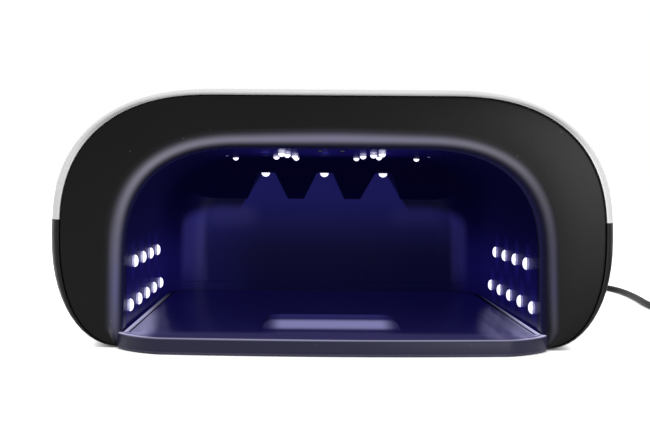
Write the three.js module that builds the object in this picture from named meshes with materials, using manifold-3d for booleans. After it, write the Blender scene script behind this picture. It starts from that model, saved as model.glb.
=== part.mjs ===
// A table lamp that cures gel nail polish. It is a rounded housing, open at the front, with a glossy
// reflector full of lamp beads, a pull-out tray for the hand, four timer buttons and a low-voltage lead.
// x runs to the right, y to the back and z up, in millimetres. Depth is counted back from the bezel's face.

import * as THREE from 'three';
import { mergeVertices } from 'three/addons/utils/BufferGeometryUtils.js';
import Module from 'manifold-3d';

const wasm = await Module();
wasm.setup();

// Driving dimensions
const bodyWidth = 223;
const bodyHeight = 101;
const housingDepth = 196;
const trayNose = 19.5; // how far the tray's middle stands out in front of the bezel
const wall = 2.4; // wall of the two housing shells
const seatGap = 0.3; // between pieces that sit against each other
const screwGap = 0.3; // round a screw's shank in its hole
const overrun = 1; // how far a cutting shape runs past what it cuts

// The housing's outline, seen from the front
const footLift = 0.5; // the underside stands this far above the table, on its feet
const shoulderWidth = 7.4; // each side swells this much behind the front rim
const shoulderRise = 4.7;
const shoulderDepth = 50;
const shoulderRiseDepth = 70;
const upperCornerX = 45;
const upperCornerZ = 44;
const upperCurveShare = 2.4; // 2 is an ellipse, and more is squarer
const lowerCornerZ = 42;
const lowerCurveShare = 2.25;
const rearPlanRadius = 45;
const rearTopRadius = 35;
const seamHeight = 48.1;
const rimWidth = 0.4; // the shells' front rim round the bezel
const rimDepth = 5; // the shells are solid this far back from the rim
const shoulderShares = [0, 0.035, 0.135, 0.36, 0.66, 1, 1.4];

// The mouth and the cavity behind it
const cheekWidth = 24.1; // the bezel's face on each side of the mouth
const crownHeight = 25.2; // over the mouth, for the lamps and the controls
const mouthCornerX = 33;
const mouthCornerZ = 34;
const mouthCurveShare = 2.5;
const lipRadius = 6.5;
const lipShare = 0.45; // the lip never takes more of the bezel's width than this
const bezelDepth = 12;
const bezelWall = 1.8;
const bezelWallShare = 0.22;
const bezelEdge = 0.8;
const bezelLegTrim = 0.25; // the legs of the bezel end this much above the lowest point of its outline
const linerWall = 1.6;
const linerRear = 164;
const linerCorner = 22;

// The sloping soffit at the back and the three light chutes in it
const soffitStart = 126;
const soffitDrop = 22.1;
const chuteSpacing = 29.5;
const chuteDrop = 8.5; // from the ceiling to a chute's upper end
const chuteTopHalf = 4.15;
const chuteLowHalf = 10.6;
const chuteFront = 138;
const chuteLampDepth = 147.5;

// The lamp beads and their boards
const beadRadius = 2.5;
const beadOut = 2.4; // how far a bead stands out of the reflector
const beadHoleGap = 0.3;
const boardThickness = 1.6;
const sideBoardStart = 14;
const sideBoardLength = 112;
const sideBoardEdge = 5.5; // from the upper row of beads to the board's edge
const lowRowZ = 14;
const highRowZ = 30.5;
const lowRowStart = 19;
const highRowStart = 30.7;
const beadSpacing = 23.5;
const beadsInRow = 5;
const ceilingBoardInset = 30; // from the mouth's side
const ceilingBoardStart = 14;
const ceilingBoardEnd = 130;
const rearBoardOverhang = 8.5; // past its outer beads
const rearBoardHalfDepth = 6;
const sensorRadius = 1.5;
const sensorOut = 0.9;
const sensorX = 4.5;
const sensorDepth = 32;
// Each pair of ceiling beads: its half spacing and its place along the ceiling board, as shares of the board
const ceilingPairShares = [
  { across: 0.4, along: 0.07 },
  { across: 0.36, along: 0.26 },
  { across: 0.3, along: 0.465 },
  { across: 0.47, along: 0.655 },
  { across: 0.29, along: 0.888 },
  { across: 0.92, along: 0.62 },
  { across: 0.88, along: 0.93 },
];

// The tray, its bay in the lower housing, its rails and its magnets
const trayGap = 0.6; // to the mouth on each side
const trayThickness = 5.4;
const trayLift = 0.6;
const trayBow = 3; // the front edge bows out this much between its corners
// Ahead of the bezel the tray spreads wider than the mouth, with front corners between round and cut off
const noseHalfWidth = 81;
const noseCorner = 18;
const noseCurveShare = 1.4;
const noseEnd = 1.2; // the spread ends this far ahead of the bezel's face
const noseStep = 0.8; // and runs in to the tray's own width over this length
const trayRim = 2.5;
const trayGroove = 0.5; // round the panel
const panelThickness = 1.5;
const trayEdge = 0.9;
const trayEdgeShares = [0, 0.3, 1];
const trayBottomEdge = 0.8;
const bayGap = 0.5; // the bay is this much wider than the mouth
const guideWall = 2;
const guideTop = 10;
const railReach = 1.6;
const railThickness = 0.9;
const railGap = 0.5;
const railStart = 20;
const railEnd = 150;
const restHalfWidth = 27;
const restHalfDepth = 20;
const restDepth = 17; // of the finger rest's middle
const restRise = 2.9;
const restCurveShare = 5;
const restLevelShares = [
  { size: 1, height: 0 },
  { size: 0.975, height: 0.45 },
  { size: 0.92, height: 0.78 },
  { size: 0.72, height: 0.97 },
  { size: 0.4, height: 1 },
];
const magnetLength = 10;
const magnetDepth = 3;
const trayMagnetHeight = 1.6;
const housingMagnetHeight = 5.6;
const magnetSide = 18; // from where the rear corners begin

// Feet
const footRadius = 6;
const trayFootRadius = 5;
const footRecess = 0.9;
const footGap = 0.3;
const rearFootInset = 54; // from the bezel's side
const rearFootDepth = 181;
const cheekFootWidth = 2;
const cheekFootLength = 16;
const cheekFootDepth = 28;
const trayFootSide = 17.4; // from the tray's side
const trayFootInset = 24;

// Housing screws, in wells in the lower housing, and the columns that they hold
const wellHeight = 40;
const wellRadius = 4.5;
const wellBore = 3.3;
const wellEnd = 3;
const screwRadius = 1.3;
const screwHeadRadius = 2.7;
const screwHeadHeight = 2.2;
const screwBite = 12;
const columnRadius = 3.8;
const frontWellInset = 10; // from the bezel's side
const frontWellDepth = 40;
const rearWellInset = 32;
const rearWellDepth = 178;
const tabWidth = 12;
const tabThickness = 1.4;
const tabHeight = 4;
const tabRoot = 5;
const tabGap = 1.1;
const tabStart = 64;
const tabSpacing = 32;
const tabCount = 3;

// Controls on top
const controlDrop = 10; // from the top to the board's upper face
const controlHalfWidth = 40;
const controlMargin = 15; // from the keys, and from the display, to the board's edge
const controlPostRadius = 2.5;
const controlPostSide = 3;
const controlPostInset = 4;
const boardScrewRadius = 0.9;
const boardScrewHeadRadius = 1.8;
const boardScrewHead = 1.2;
const boardScrewEnd = 1.2; // from the hole's blind end to the shell's underside
const keysToDisplay = 22;
const keySpacing = 21;
const keyWidth = 14;
const keyLength = 9;
const keyCorner = 2.4;
const keyProud = 0.9;
const keyGap = 0.4;
const keyFlange = 1.5;
const keyFlangeThickness = 1;
const keyBevel = 0.6;
const keyStemRadius = 2;
const keyCount = 4;
const keyTravel = 0.5;
const pressGap = 0.1; // left above the plunger when the key is down
const switchWidth = 6;
const switchHeight = 3.5;
const plungerRadius = 1.7;
const plungerHeight = 0.6;
const displayDepth = 106;
const windowWidth = 32;
const windowLength = 15;
const windowThickness = 1.6;
const windowCorner = 2;
const windowLedge = 1.5;
const windowSink = 0.1;
const displayWidth = 27;
const displayLength = 11;
const displayRoom = 0.9; // from the display's face to the shell's underside

// Power inlet in the back wall, and air slots beside it
const jackX = 35;
const jackZ = 13.5;
const jackWidth = 9.4;
const jackHeight = 11;
const jackLength = 13;
const jackNoseRadius = 4;
const jackHoleRadius = 4.3;
const jackBore = 3.15;
const jackBoreDepth = 9.3;
const jackPinRadius = 0.98;
const jackPinSink = 1.2;
const ventCount = 9;
const ventSpacing = 7;
const ventWidth = 2.4;
const ventBottom = 20;
const ventTop = 38;
const ventEndX = 8;

// The lead: plug, cord, coil and adapter
const cordRadius = 1.6;
const cordStraight = 4.5; // the cord leaves the plug, and meets its coil, straight for this far
const cordLift = 0.15; // the cord lies this much above the table
const plugBarrelRadius = 2.75;
const plugBarrelBore = 1.3;
const plugBarrelLength = 8.6;
const plugBodyRadius = 4.7;
const plugBodyLength = 15;
const plugNeckRadius = 3.1;
const plugTipRadius = 2.1;
const plugTaperLength = 17;
const plugRingCount = 3;
const plugRingDepth = 0.45;
const coilPitch = 3.8;
const coilMeanRadius = 18;
const coilTurnsInLayer = 2;
const coilLayers = 4;
const coilTail = 11; // from the last turn straight on to the adapter
const coilSteps = 24;
const coilSides = 6;
const coilX = 190;
const coilY = 0;
const adapterWidth = 44;
const adapterLength = 66;
const adapterHeight = 30;
const adapterCorner = 6;
const adapterBevel = 2.5;
const adapterBootLength = 14;
const adapterBootRadius = 3.4;
const bladeWidth = 6.3;
const bladeThickness = 1.5;
const bladeLength = 16;
const bladeSpacing = 12.7;
const wireRadius = 0.9;
const wireInset = 10; // from the rear end of a side board to its wires

// Facets
const smallSides = 12;
const beadSides = 8;
const fineSteps = { lower: 7, upper: 10, rear: 6 };
const hiddenSteps = { lower: 4, upper: 7, rear: 4 };
const planSteps = 5;
const leadSteps = 56;
const wireSteps = 2; // to each stretch between two points of a wire
const bezelRays = 46;
const lipSteps = 4;

// Places that follow from the sizes above
const frontY = (trayNose - housingDepth) / 2;
const yAt = (depth) => frontY + depth;
const frontHalfWidth = bodyWidth / 2 - shoulderWidth;
const frontTop = bodyHeight - shoulderRise;
const mouthHalfWidth = frontHalfWidth - cheekWidth;
const mouthTop = bodyHeight - crownHeight;
const soffitLow = mouthTop - soffitDrop;
const chuteTop = mouthTop - chuteDrop;
const sideBoardTop = highRowZ + sideBoardEdge;
const ceilingBoardHalf = mouthHalfWidth - ceilingBoardInset;
const rearBoardHalf = chuteSpacing + rearBoardOverhang;
const magnetX = mouthHalfWidth - linerCorner - magnetSide;
const frontWellX = frontHalfWidth - frontWellInset;
const rearWellX = frontHalfWidth - rearWellInset;
const rearFootX = frontHalfWidth - rearFootInset;
const keyDepth = displayDepth - keysToDisplay;
const controlStart = keyDepth - controlMargin;
const controlEnd = displayDepth + controlMargin;
const controlPostX = controlHalfWidth - controlPostSide;
const bayHalfWidth = mouthHalfWidth + bayGap;
const bayRear = linerRear + seatGap;
const trayHalfWidth = mouthHalfWidth - trayGap;
const trayFootX = trayHalfWidth - trayFootSide;
const trayTop = trayLift + trayThickness;
const trayRear = bayRear - seatGap;
const floorTop = footLift + wall;
const shellUnderside = bodyHeight - wall;
const linerBottom = guideTop + seatGap;
const controlTop = bodyHeight - controlDrop;
const controlBottom = controlTop - boardThickness;
const controlMiddle = (controlStart + controlEnd) / 2;
const railZ = trayLift + trayThickness / 2 - panelThickness / 2;
const sideBoardX = mouthHalfWidth + linerWall + seatGap;
const ceilingBoardZ = mouthTop + linerWall + seatGap;
const rearBoardZ = chuteTop + linerWall + seatGap;
const beadLength = linerWall + seatGap + beadOut;
const coilOuterRadius = coilMeanRadius + (coilPitch * coilTurnsInLayer) / 2;
const cordHeight = cordRadius + cordLift;
const coilTopHeight = cordHeight + coilPitch * (coilLayers - 1);
const coilStartX = coilX - coilOuterRadius;
const straightEnd = 2 * cordRadius;

const finishes = {
  shell: { color: 0xd2d2d4, roughness: 0.35, metalness: 0 },
  base: { color: 0x262628, roughness: 0.5, metalness: 0 },
  bezel: { color: 0x2a2a2c, roughness: 0.65, metalness: 0 },
  liner: { color: 0x121226, roughness: 0.15, metalness: 0.1 },
  tray: { color: 0x24242c, roughness: 0.3, metalness: 0 },
  board: { color: 0xe4e6e0, roughness: 0.5, metalness: 0 },
  control: { color: 0x1c5a34, roughness: 0.5, metalness: 0 },
  part: { color: 0x1a1a1c, roughness: 0.45, metalness: 0 },
  key: { color: 0x9a9aa0, roughness: 0.4, metalness: 0 },
  window: { color: 0x101014, roughness: 0.1, metalness: 0 },
  steel: { color: 0xb8bac0, roughness: 0.3, metalness: 1 },
  magnet: { color: 0xa0a4aa, roughness: 0.25, metalness: 1 },
  rubber: { color: 0x202022, roughness: 0.9, metalness: 0 },
  lead: { color: 0x18181a, roughness: 0.55, metalness: 0 },
  wire: { color: 0xa02020, roughness: 0.6, metalness: 0 },
};

const lamp = new THREE.Group();

// Adds one named piece; a shape is either a three.js geometry or a solid from a cut
function addPiece(name, shape, finishName) {
  const geometry = shape.isBufferGeometry ? shape : geometryOf(shape);
  const mesh = new THREE.Mesh(geometry, new THREE.MeshStandardMaterial(finishes[finishName]));
  mesh.name = name;
  lamp.add(mesh);
}

function solid(geometry) {
  const bare = geometry.clone();
  bare.deleteAttribute('normal');
  bare.deleteAttribute('uv');
  const merged = mergeVertices(bare);
  const vertProperties = new Float32Array(merged.attributes.position.array);
  const triVerts = new Uint32Array(merged.index.array);
  return new wasm.Manifold(new wasm.Mesh({ numProp: 3, vertProperties, triVerts }));
}

function geometryOf(manifold) {
  const mesh = manifold.getMesh();
  const geometry = new THREE.BufferGeometry();
  geometry.setAttribute('position', new THREE.BufferAttribute(new Float32Array(mesh.vertProperties), 3));
  geometry.setIndex(new THREE.BufferAttribute(new Uint32Array(mesh.triVerts), 1));
  geometry.computeVertexNormals();
  return geometry;
}

function joined(solids) {
  return solids.reduce((all, next) => all.add(next));
}

function cut(body, cutters) {
  return cutters.reduce((rest, next) => rest.subtract(next), body);
}

function block([x0, x1], [y0, y1], [z0, z1]) {
  const box = new THREE.BoxGeometry(x1 - x0, y1 - y0, z1 - z0);
  return solid(box.translate((x0 + x1) / 2, (y0 + y1) / 2, (z0 + z1) / 2));
}

function shapeOf(points) {
  return new THREE.Shape(points.map(([u, v]) => new THREE.Vector2(u, v)));
}

// An outline in x and y, raised from z0 to z1
function prism(points, [z0, z1]) {
  const raised = new THREE.ExtrudeGeometry(shapeOf(points), { depth: z1 - z0, bevelEnabled: false });
  return solid(raised.translate(0, 0, z0));
}

// An outline in x and z, run from y0 back to y1
function prismAlongY(points, [y0, y1]) {
  const run = new THREE.ExtrudeGeometry(shapeOf(points), { depth: y1 - y0, bevelEnabled: false });
  return solid(run.rotateX(Math.PI / 2).translate(0, y1, 0));
}

// An outline in y and z, run from x0 to x1
function prismAlongX(points, [x0, x1]) {
  const run = new THREE.ExtrudeGeometry(shapeOf(points), { depth: x1 - x0, bevelEnabled: false });
  const turn = new THREE.Matrix4().set(0, 0, 1, x0, 1, 0, 0, 0, 0, 1, 0, 0, 0, 0, 0, 1);
  return solid(run.applyMatrix4(turn));
}

// A turned piece on an upright axis, from points of radius and height that start and end on the axis
function turned(profile, sides = smallSides) {
  const lathe = new THREE.LatheGeometry(profile.map(([r, h]) => new THREE.Vector2(r, h)), sides);
  return lathe.rotateX(Math.PI / 2);
}

function post(x, y, [z0, z1], radius, sides = smallSides) {
  const rod = new THREE.CylinderGeometry(radius, radius, z1 - z0, sides);
  return solid(rod.rotateX(Math.PI / 2).translate(x, y, (z0 + z1) / 2));
}

function rodAlongY(x, z, [y0, y1], radius, sides = smallSides) {
  const rod = new THREE.CylinderGeometry(radius, radius, y1 - y0, sides);
  return solid(rod.translate(x, (y0 + y1) / 2, z));
}

// A closed solid through rings of equal length; flatten gives the plane that an end ring is filled in
function loft(rings, flatten = ([x, , z]) => [x, z]) {
  const size = rings[0].length;
  const index = [];
  for (let r = 0; r < rings.length - 1; r += 1) {
    for (let i = 0; i < size; i += 1) {
      const here = r * size + i;
      const next = r * size + ((i + 1) % size);
      index.push(here, next, next + size, here, next + size, here + size);
    }
  }
  const fill = (ring) => THREE.ShapeUtils.triangulateShape(
    ring.map((point) => new THREE.Vector2(...flatten(point))), [],
  );
  const last = (rings.length - 1) * size;
  const turnedRight = THREE.ShapeUtils.area(rings[0].map((p) => new THREE.Vector2(...flatten(p)))) > 0;
  const face = ([a, b, c]) => (turnedRight ? [a, c, b] : [a, b, c]);
  fill(rings[0]).forEach((corners) => index.push(...face(corners)));
  fill(rings[rings.length - 1]).forEach((corners) => {
    const [a, b, c] = face(corners);
    index.push(last + a, last + c, last + b);
  });
  const geometry = new THREE.BufferGeometry();
  geometry.setAttribute('position', new THREE.Float32BufferAttribute(rings.flat(2), 3));
  geometry.setIndex(volumeOf(rings.flat(), index) < 0 ? index.reverse() : index);
  return geometry;
}

function volumeOf(points, index) {
  let sum = 0;
  for (let i = 0; i < index.length; i += 3) {
    const [a, b, c] = [0, 1, 2].map((k) => new THREE.Vector3(...points[index[i + k]]));
    sum += a.dot(b.cross(c));
  }
  return sum;
}

// Points from the side of a rounded corner to its top
function cornerArc(centreX, centreZ, sizeX, sizeZ, curveShare, steps) {
  const points = [];
  for (let i = 0; i <= steps; i += 1) {
    const turn = (Math.PI / 2) * (i / steps);
    const x = centreX + sizeX * Math.abs(Math.cos(turn)) ** (2 / curveShare);
    points.push([x, centreZ + sizeZ * Math.sin(turn) ** (2 / curveShare)]);
  }
  return points;
}

function mirrored(half) {
  return [...half, ...half.map(([x, z]) => [-x, z]).reverse()];
}

function roundedRectangle(width, length, radius, steps = 2) {
  const right = cornerArc(width / 2 - radius, length / 2 - radius, radius, radius, 2, steps);
  const lower = right.map(([x, y]) => [x, -y]).reverse();
  return mirrored([...lower, ...right]);
}

function moved(points, x, y) {
  return points.map(([u, v]) => [u + x, v + y]);
}

// How far a face has come in, at a depth, where it rounds over into the back
function rollIn(depth, radius, inset, rear) {
  const into = Math.max(0, depth - (rear - radius));
  const inner = radius - inset;
  return inner - Math.sqrt(Math.max(0, inner * inner - into * into));
}

function swell(depth, reach) {
  const left = Math.max(0, 1 - depth / reach);
  return Math.sqrt(1 - left * left);
}

// One ring of the housing: a flat floor, two lower corners, upright sides and two upper corners
function housingRing(y, sideHalfWidth, halfWidth, top, inset, steps) {
  const lowerWidth = sideHalfWidth - mouthHalfWidth;
  const lowerHeight = lowerCornerZ - footLift - inset;
  const lower = cornerArc(
    halfWidth - lowerWidth, lowerCornerZ, lowerWidth, -lowerHeight, lowerCurveShare, steps.lower,
  ).reverse();
  const upper = cornerArc(
    upperCornerX, upperCornerZ, halfWidth - upperCornerX, top - upperCornerZ, upperCurveShare,
    steps.upper,
  );
  return mirrored([...lower, ...upper]).map(([x, z]) => [x, y, z]);
}

function ringAtDepth(depth, inset, steps) {
  const side = frontHalfWidth + shoulderWidth * swell(depth, shoulderDepth) - inset;
  const halfWidth = side - rollIn(depth, rearPlanRadius, inset, housingDepth);
  const rise = frontTop + shoulderRise * swell(depth, shoulderRiseDepth) - inset;
  return housingRing(
    yAt(depth), side, halfWidth, rise - rollIn(depth, rearTopRadius, inset, housingDepth), inset, steps,
  );
}

// The housing's whole form, or the room inside it when inset is the wall
function housingForm(start, inset, steps) {
  const depths = shoulderShares.map((share) => share * shoulderDepth).filter((depth) => depth > start);
  for (let i = 0; i <= steps.rear; i += 1) {
    const turn = (Math.PI / 2) * (i / steps.rear);
    depths.push(housingDepth - rearPlanRadius + (rearPlanRadius - inset) * Math.sin(turn));
  }
  return solid(loft([start, ...depths].map((depth) => ringAtDepth(depth, inset, steps))));
}

function frontRing(y, inset) {
  const halfWidth = frontHalfWidth - inset;
  return housingRing(y, halfWidth, halfWidth, frontTop - inset, inset, fineSteps);
}

// The mouth's outline run back to the rear of the reflector, grown by the reflector's wall or not
function mouthRing(depth, outset, bottom) {
  const halfWidth = mouthHalfWidth + outset - rollIn(depth, linerCorner, -outset, linerRear);
  const upper = cornerArc(
    mouthCornerX, mouthCornerZ, halfWidth - mouthCornerX, mouthTop + outset - mouthCornerZ,
    mouthCurveShare, fineSteps.upper,
  );
  return mirrored([[halfWidth, bottom], ...upper]).map(([x, z]) => [x, yAt(depth), z]);
}

function mouthForm(start, outset, bottom) {
  const depths = [start];
  for (let i = 0; i <= planSteps; i += 1) {
    const turn = (Math.PI / 2) * (i / planSteps);
    depths.push(linerRear - linerCorner + (linerCorner + outset) * Math.sin(turn));
  }
  return solid(loft(depths.map((depth) => mouthRing(depth, outset, bottom))));
}

// Where a ray from the origin at this angle leaves a convex outline
function reachOf(outline, angle) {
  const ray = [Math.cos(angle), Math.sin(angle)];
  for (let i = 0; i < outline.length; i += 1) {
    const [ax, az] = outline[i];
    const [bx, bz] = outline[(i + 1) % outline.length];
    const [ex, ez] = [bx - ax, bz - az];
    const across = ray[0] * ez - ray[1] * ex;
    const reach = (ax * ez - az * ex) / across;
    const share = (ax * ray[1] - az * ray[0]) / across;
    if (reach > 0 && share >= 0 && share <= 1) {
      return reach;
    }
  }
  throw new Error('the ray misses the outline');
}

// The bezel's section on one ray: a lip into the mouth, a flat face, and a channel behind
function bezelSection(inner, outer) {
  const width = outer - inner;
  const lip = Math.min(lipRadius, width * lipShare);
  const skin = Math.min(bezelWall, width * bezelWallShare);
  const edge = Math.min(bezelEdge, skin);
  const points = [[inner, bezelDepth]];
  for (let i = 0; i <= lipSteps; i += 1) {
    const turn = (Math.PI / 2) * (i / lipSteps);
    points.push([inner + lip * (1 - Math.cos(turn)), lip * (1 - Math.sin(turn))]);
  }
  points.push([outer - edge, 0]);
  points.push([outer, edge]);
  points.push([outer, bezelDepth]);
  points.push([outer - skin, bezelDepth]);
  points.push([outer - skin, skin]);
  points.push([inner + lip, skin]);
  points.push([inner + skin, lip]);
  points.push([inner + skin, bezelDepth]);
  return points;
}

function frontBezel() {
  const outerOutline = frontRing(0, rimWidth + seatGap).map(([x, , z]) => [x, z]);
  const mouthOutline = mouthRing(0, 0, 0).map(([x, , z]) => [x, z]);
  const lowest = footLift + rimWidth + seatGap + bezelLegTrim;
  const firstAngle = Math.atan2(lowest, mouthHalfWidth);
  const rings = [];
  for (let i = 0; i <= bezelRays; i += 1) {
    const angle = firstAngle + (Math.PI - 2 * firstAngle) * (i / bezelRays);
    const section = bezelSection(reachOf(mouthOutline, angle), reachOf(outerOutline, angle));
    rings.push(section.map(([r, depth]) => [r * Math.cos(angle), yAt(depth), r * Math.sin(angle)]));
  }
  return loft(rings, ([x, y, z]) => [Math.hypot(x, z), y]);
}

function bezelPocket() {
  const rings = [-overrun, bezelDepth + seatGap].map((depth) => frontRing(yAt(depth), rimWidth));
  return solid(loft(rings));
}

function screwPlaces() {
  return [
    { name: 'front_left', x: -frontWellX, y: yAt(frontWellDepth) },
    { name: 'front_right', x: frontWellX, y: yAt(frontWellDepth) },
    { name: 'rear_left', x: -rearWellX, y: yAt(rearWellDepth) },
    { name: 'rear_right', x: rearWellX, y: yAt(rearWellDepth) },
  ];
}

function keyPlaces() {
  const middle = (keyCount - 1) / 2;
  return Array.from({ length: keyCount }, (_, i) => (i - middle) * keySpacing);
}

function controlPosts() {
  const depths = [controlStart + controlPostInset, controlEnd - controlPostInset];
  return depths.flatMap((depth) => [-controlPostX, controlPostX].map((x) => ({ x, y: yAt(depth) })));
}

function slab(z0, z1) {
  const reach = bodyWidth;
  return block([-reach, reach], [-reach, reach], [z0, z1]);
}

function topShell(form, room) {
  const above = form.intersect(slab(seamHeight + seatGap / 2, bodyHeight + overrun));
  const shell = above.subtract(room);
  const columnRun = [wellHeight + seatGap, bodyHeight];
  const postRun = [controlTop + seatGap, bodyHeight];
  const columns = screwPlaces().map(({ x, y }) => post(x, y, columnRun, columnRadius));
  const posts = controlPosts().map(({ x, y }) => post(x, y, postRun, controlPostRadius));
  const held = joined([...columns, ...posts]).intersect(form);
  const columnHoles = screwPlaces().map(({ x, y }) => post(
    x, y, [wellHeight - overrun, wellHeight + seatGap + screwBite + screwGap], screwRadius + screwGap,
  ));
  const postHoles = controlPosts().map(({ x, y }) => post(
    x, y, [controlTop - overrun, shellUnderside - boardScrewEnd], boardScrewRadius + screwGap,
  ));
  const keyHole = roundedRectangle(keyWidth + 2 * keyGap, keyLength + 2 * keyGap, keyCorner + keyGap);
  const through = [shellUnderside - overrun, bodyHeight + overrun];
  const keyHoles = keyPlaces().map((x) => prism(moved(keyHole, x, yAt(keyDepth)), through));
  const holes = [...columnHoles, ...postHoles, ...keyHoles, ...windowCuts()];
  return cut(shell.add(held), [bezelPocket(), ...holes]);
}

function windowCuts() {
  const grown = 2 * seatGap;
  const seat = roundedRectangle(windowWidth + grown, windowLength + grown, windowCorner + seatGap);
  const ledges = 2 * windowLedge;
  const sight = roundedRectangle(windowWidth - ledges, windowLength - ledges, windowCorner);
  const seatZ = bodyHeight - windowSink - windowThickness - seatGap;
  return [
    prism(moved(seat, 0, yAt(displayDepth)), [seatZ, bodyHeight + overrun]),
    prism(moved(sight, 0, yAt(displayDepth)), [shellUnderside - overrun, seatZ + overrun]),
  ];
}

// The plan of the tray's bay: straight sides, and a back with two rounded corners
function bayPlan(front, outset) {
  const radius = linerCorner + outset;
  const halfWidth = bayHalfWidth + outset;
  const corner = cornerArc(halfWidth - radius, yAt(bayRear + outset) - radius, radius, radius, 2, planSteps);
  return mirrored([[halfWidth, yAt(front)], ...corner]);
}

function locatingTabs() {
  const tabs = [];
  for (let i = 0; i < tabCount; i += 1) {
    const depth = tabStart + i * tabSpacing;
    const outer = frontHalfWidth + shoulderWidth * swell(depth, shoulderDepth) - wall;
    const run = [yAt(depth), yAt(depth) + tabWidth];
    [-1, 1].forEach((side) => {
      const span = (from, to) => [side * from, side * to].sort((a, b) => a - b);
      tabs.push(block(span(outer - tabGap - tabThickness, outer - tabGap), run,
        [seamHeight - tabRoot, seamHeight + tabHeight]));
      tabs.push(block(span(outer - tabGap - tabThickness, outer + wall / 2), run,
        [seamHeight - tabRoot, seamHeight - tabRoot + tabThickness]));
    });
  }
  return tabs;
}

function magnetCradles() {
  const back = bayRear + guideWall;
  const run = [yAt(back) - overrun, yAt(back + seatGap + magnetDepth)];
  const height = [floorTop - wall / 2, floorTop + seatGap + housingMagnetHeight];
  return [-magnetX, magnetX].flatMap((x) => [-1, 1].map((side) => {
    const inner = x + side * (magnetLength / 2 + seatGap);
    const span = [inner, inner + side * tabThickness].sort((a, b) => a - b);
    return block(span, run, height);
  }));
}

function jackPedestal() {
  const end = housingDepth - wall - seatGap;
  return block(
    [jackX - jackWidth / 2, jackX + jackWidth / 2], [yAt(end - jackLength), yAt(end)],
    [floorTop - wall / 2, jackZ - jackHeight / 2 - seatGap],
  );
}

function airSlots() {
  return Array.from({ length: ventCount }, (_, i) => {
    const x = ventEndX - i * ventSpacing;
    const run = [yAt(housingDepth - wall) - overrun, yAt(housingDepth) + overrun];
    return block([x - ventWidth / 2, x + ventWidth / 2], run, [ventBottom, ventTop]);
  });
}

function footPockets() {
  const up = [-overrun, footLift + footRecess];
  const rear = [-rearFootX, rearFootX].map((x) => post(x, yAt(rearFootDepth), up, footRadius + footGap));
  const cheek = cheekFeet(footGap, up);
  return [...rear, ...cheek];
}

function cheekFeet(outset, [z0, z1]) {
  const inner = bayHalfWidth + seatGap + footGap;
  const run = [
    yAt(cheekFootDepth) - cheekFootLength / 2 - outset, yAt(cheekFootDepth) + cheekFootLength / 2 + outset,
  ];
  return [-1, 1].map((side) => {
    const span = [side * (inner - outset), side * (inner + cheekFootWidth + outset)].sort((a, b) => a - b);
    return block(span, run, [z0, z1]);
  });
}

function baseHousing(form, room) {
  const below = form.intersect(slab(-overrun, seamHeight - seatGap / 2));
  const guide = prism(bayPlan(bezelDepth + seatGap, guideWall), [footLift, guideTop]);
  const wells = screwPlaces().map(({ x, y }) => post(x, y, [0, wellHeight], wellRadius));
  const inside = joined([...wells, ...locatingTabs(), ...magnetCradles(), jackPedestal()]);
  const body = below.subtract(room).add(guide).add(inside.intersect(form));
  const bay = prism(bayPlan(-overrun, 0), [-overrun, guideTop + overrun]);
  const bores = screwPlaces().flatMap(({ x, y }) => [
    post(x, y, [-overrun, wellHeight - wellEnd], wellBore),
    post(x, y, [wellHeight - wellEnd - overrun, wellHeight + overrun], screwRadius + screwGap),
  ]);
  const jackRun = [yAt(housingDepth - wall) - overrun, yAt(housingDepth) + overrun];
  const jackHole = rodAlongY(jackX, jackZ, jackRun, jackHoleRadius);
  const opened = cut(body, [bay, bezelPocket(), ...bores, jackHole, ...airSlots(), ...footPockets()]);
  return joined([opened, ...rails()]);
}

function rails() {
  const height = [railZ - railThickness / 2, railZ + railThickness / 2];
  return [-1, 1].map((side) => {
    const ends = [side * (bayHalfWidth - railReach), side * (bayHalfWidth + guideWall / 2)];
    return block(ends.sort((a, b) => a - b), [yAt(railStart), yAt(railEnd)], height);
  });
}

// The wedge above the sloping soffit
function soffitWedge(outset) {
  const slope = (mouthTop - soffitLow) / (linerRear - soffitStart);
  const lift = outset * Math.hypot(1, slope);
  const end = linerRear + linerWall + overrun;
  const over = mouthTop + linerWall + overrun;
  const outline = [
    [yAt(soffitStart), mouthTop + lift],
    [yAt(end), mouthTop + lift - slope * (end - soffitStart)],
    [yAt(end), over],
    [yAt(soffitStart), over],
  ];
  return prismAlongX(outline, [-bodyWidth / 2, bodyWidth / 2]);
}

function chutes(outset, end) {
  const slope = (chuteLowHalf - chuteTopHalf) / (chuteTop - soffitLow);
  const widen = outset * Math.hypot(1, slope);
  const low = soffitLow - linerWall;
  const halfAt = (z) => chuteTopHalf + slope * (chuteTop - z) + widen;
  const top = chuteTop + outset;
  const outline = [[halfAt(low), low], [halfAt(top), top], [-halfAt(top), top], [-halfAt(low), low]];
  return [-1, 0, 1].map((place) => prismAlongY(
    moved(outline, place * chuteSpacing, 0), [yAt(chuteFront) - outset, yAt(end)],
  ));
}

function sideBeads() {
  const rows = [{ start: lowRowStart, z: lowRowZ }, { start: highRowStart, z: highRowZ }];
  return rows.flatMap(({ start, z }) => Array.from({ length: beadsInRow }, (_, i) => (
    { depth: start + i * beadSpacing, z }
  ))).filter(({ depth }) => depth < sideBoardStart + sideBoardLength - beadRadius);
}

function ceilingBeads() {
  const length = ceilingBoardEnd - ceilingBoardStart;
  return ceilingPairShares.flatMap(({ across, along }) => [-across, across].map((share) => (
    { x: share * ceilingBoardHalf, depth: ceilingBoardStart + along * length }
  )));
}

function rearBeads() {
  return [-1, 0, 1].map((place) => ({ x: place * chuteSpacing, depth: chuteLampDepth }));
}

function rodAlongX([x0, x1], y, z, radius, sides) {
  const rod = new THREE.CylinderGeometry(radius, radius, x1 - x0, sides);
  return solid(rod.rotateZ(Math.PI / 2).translate((x0 + x1) / 2, y, z));
}

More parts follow.
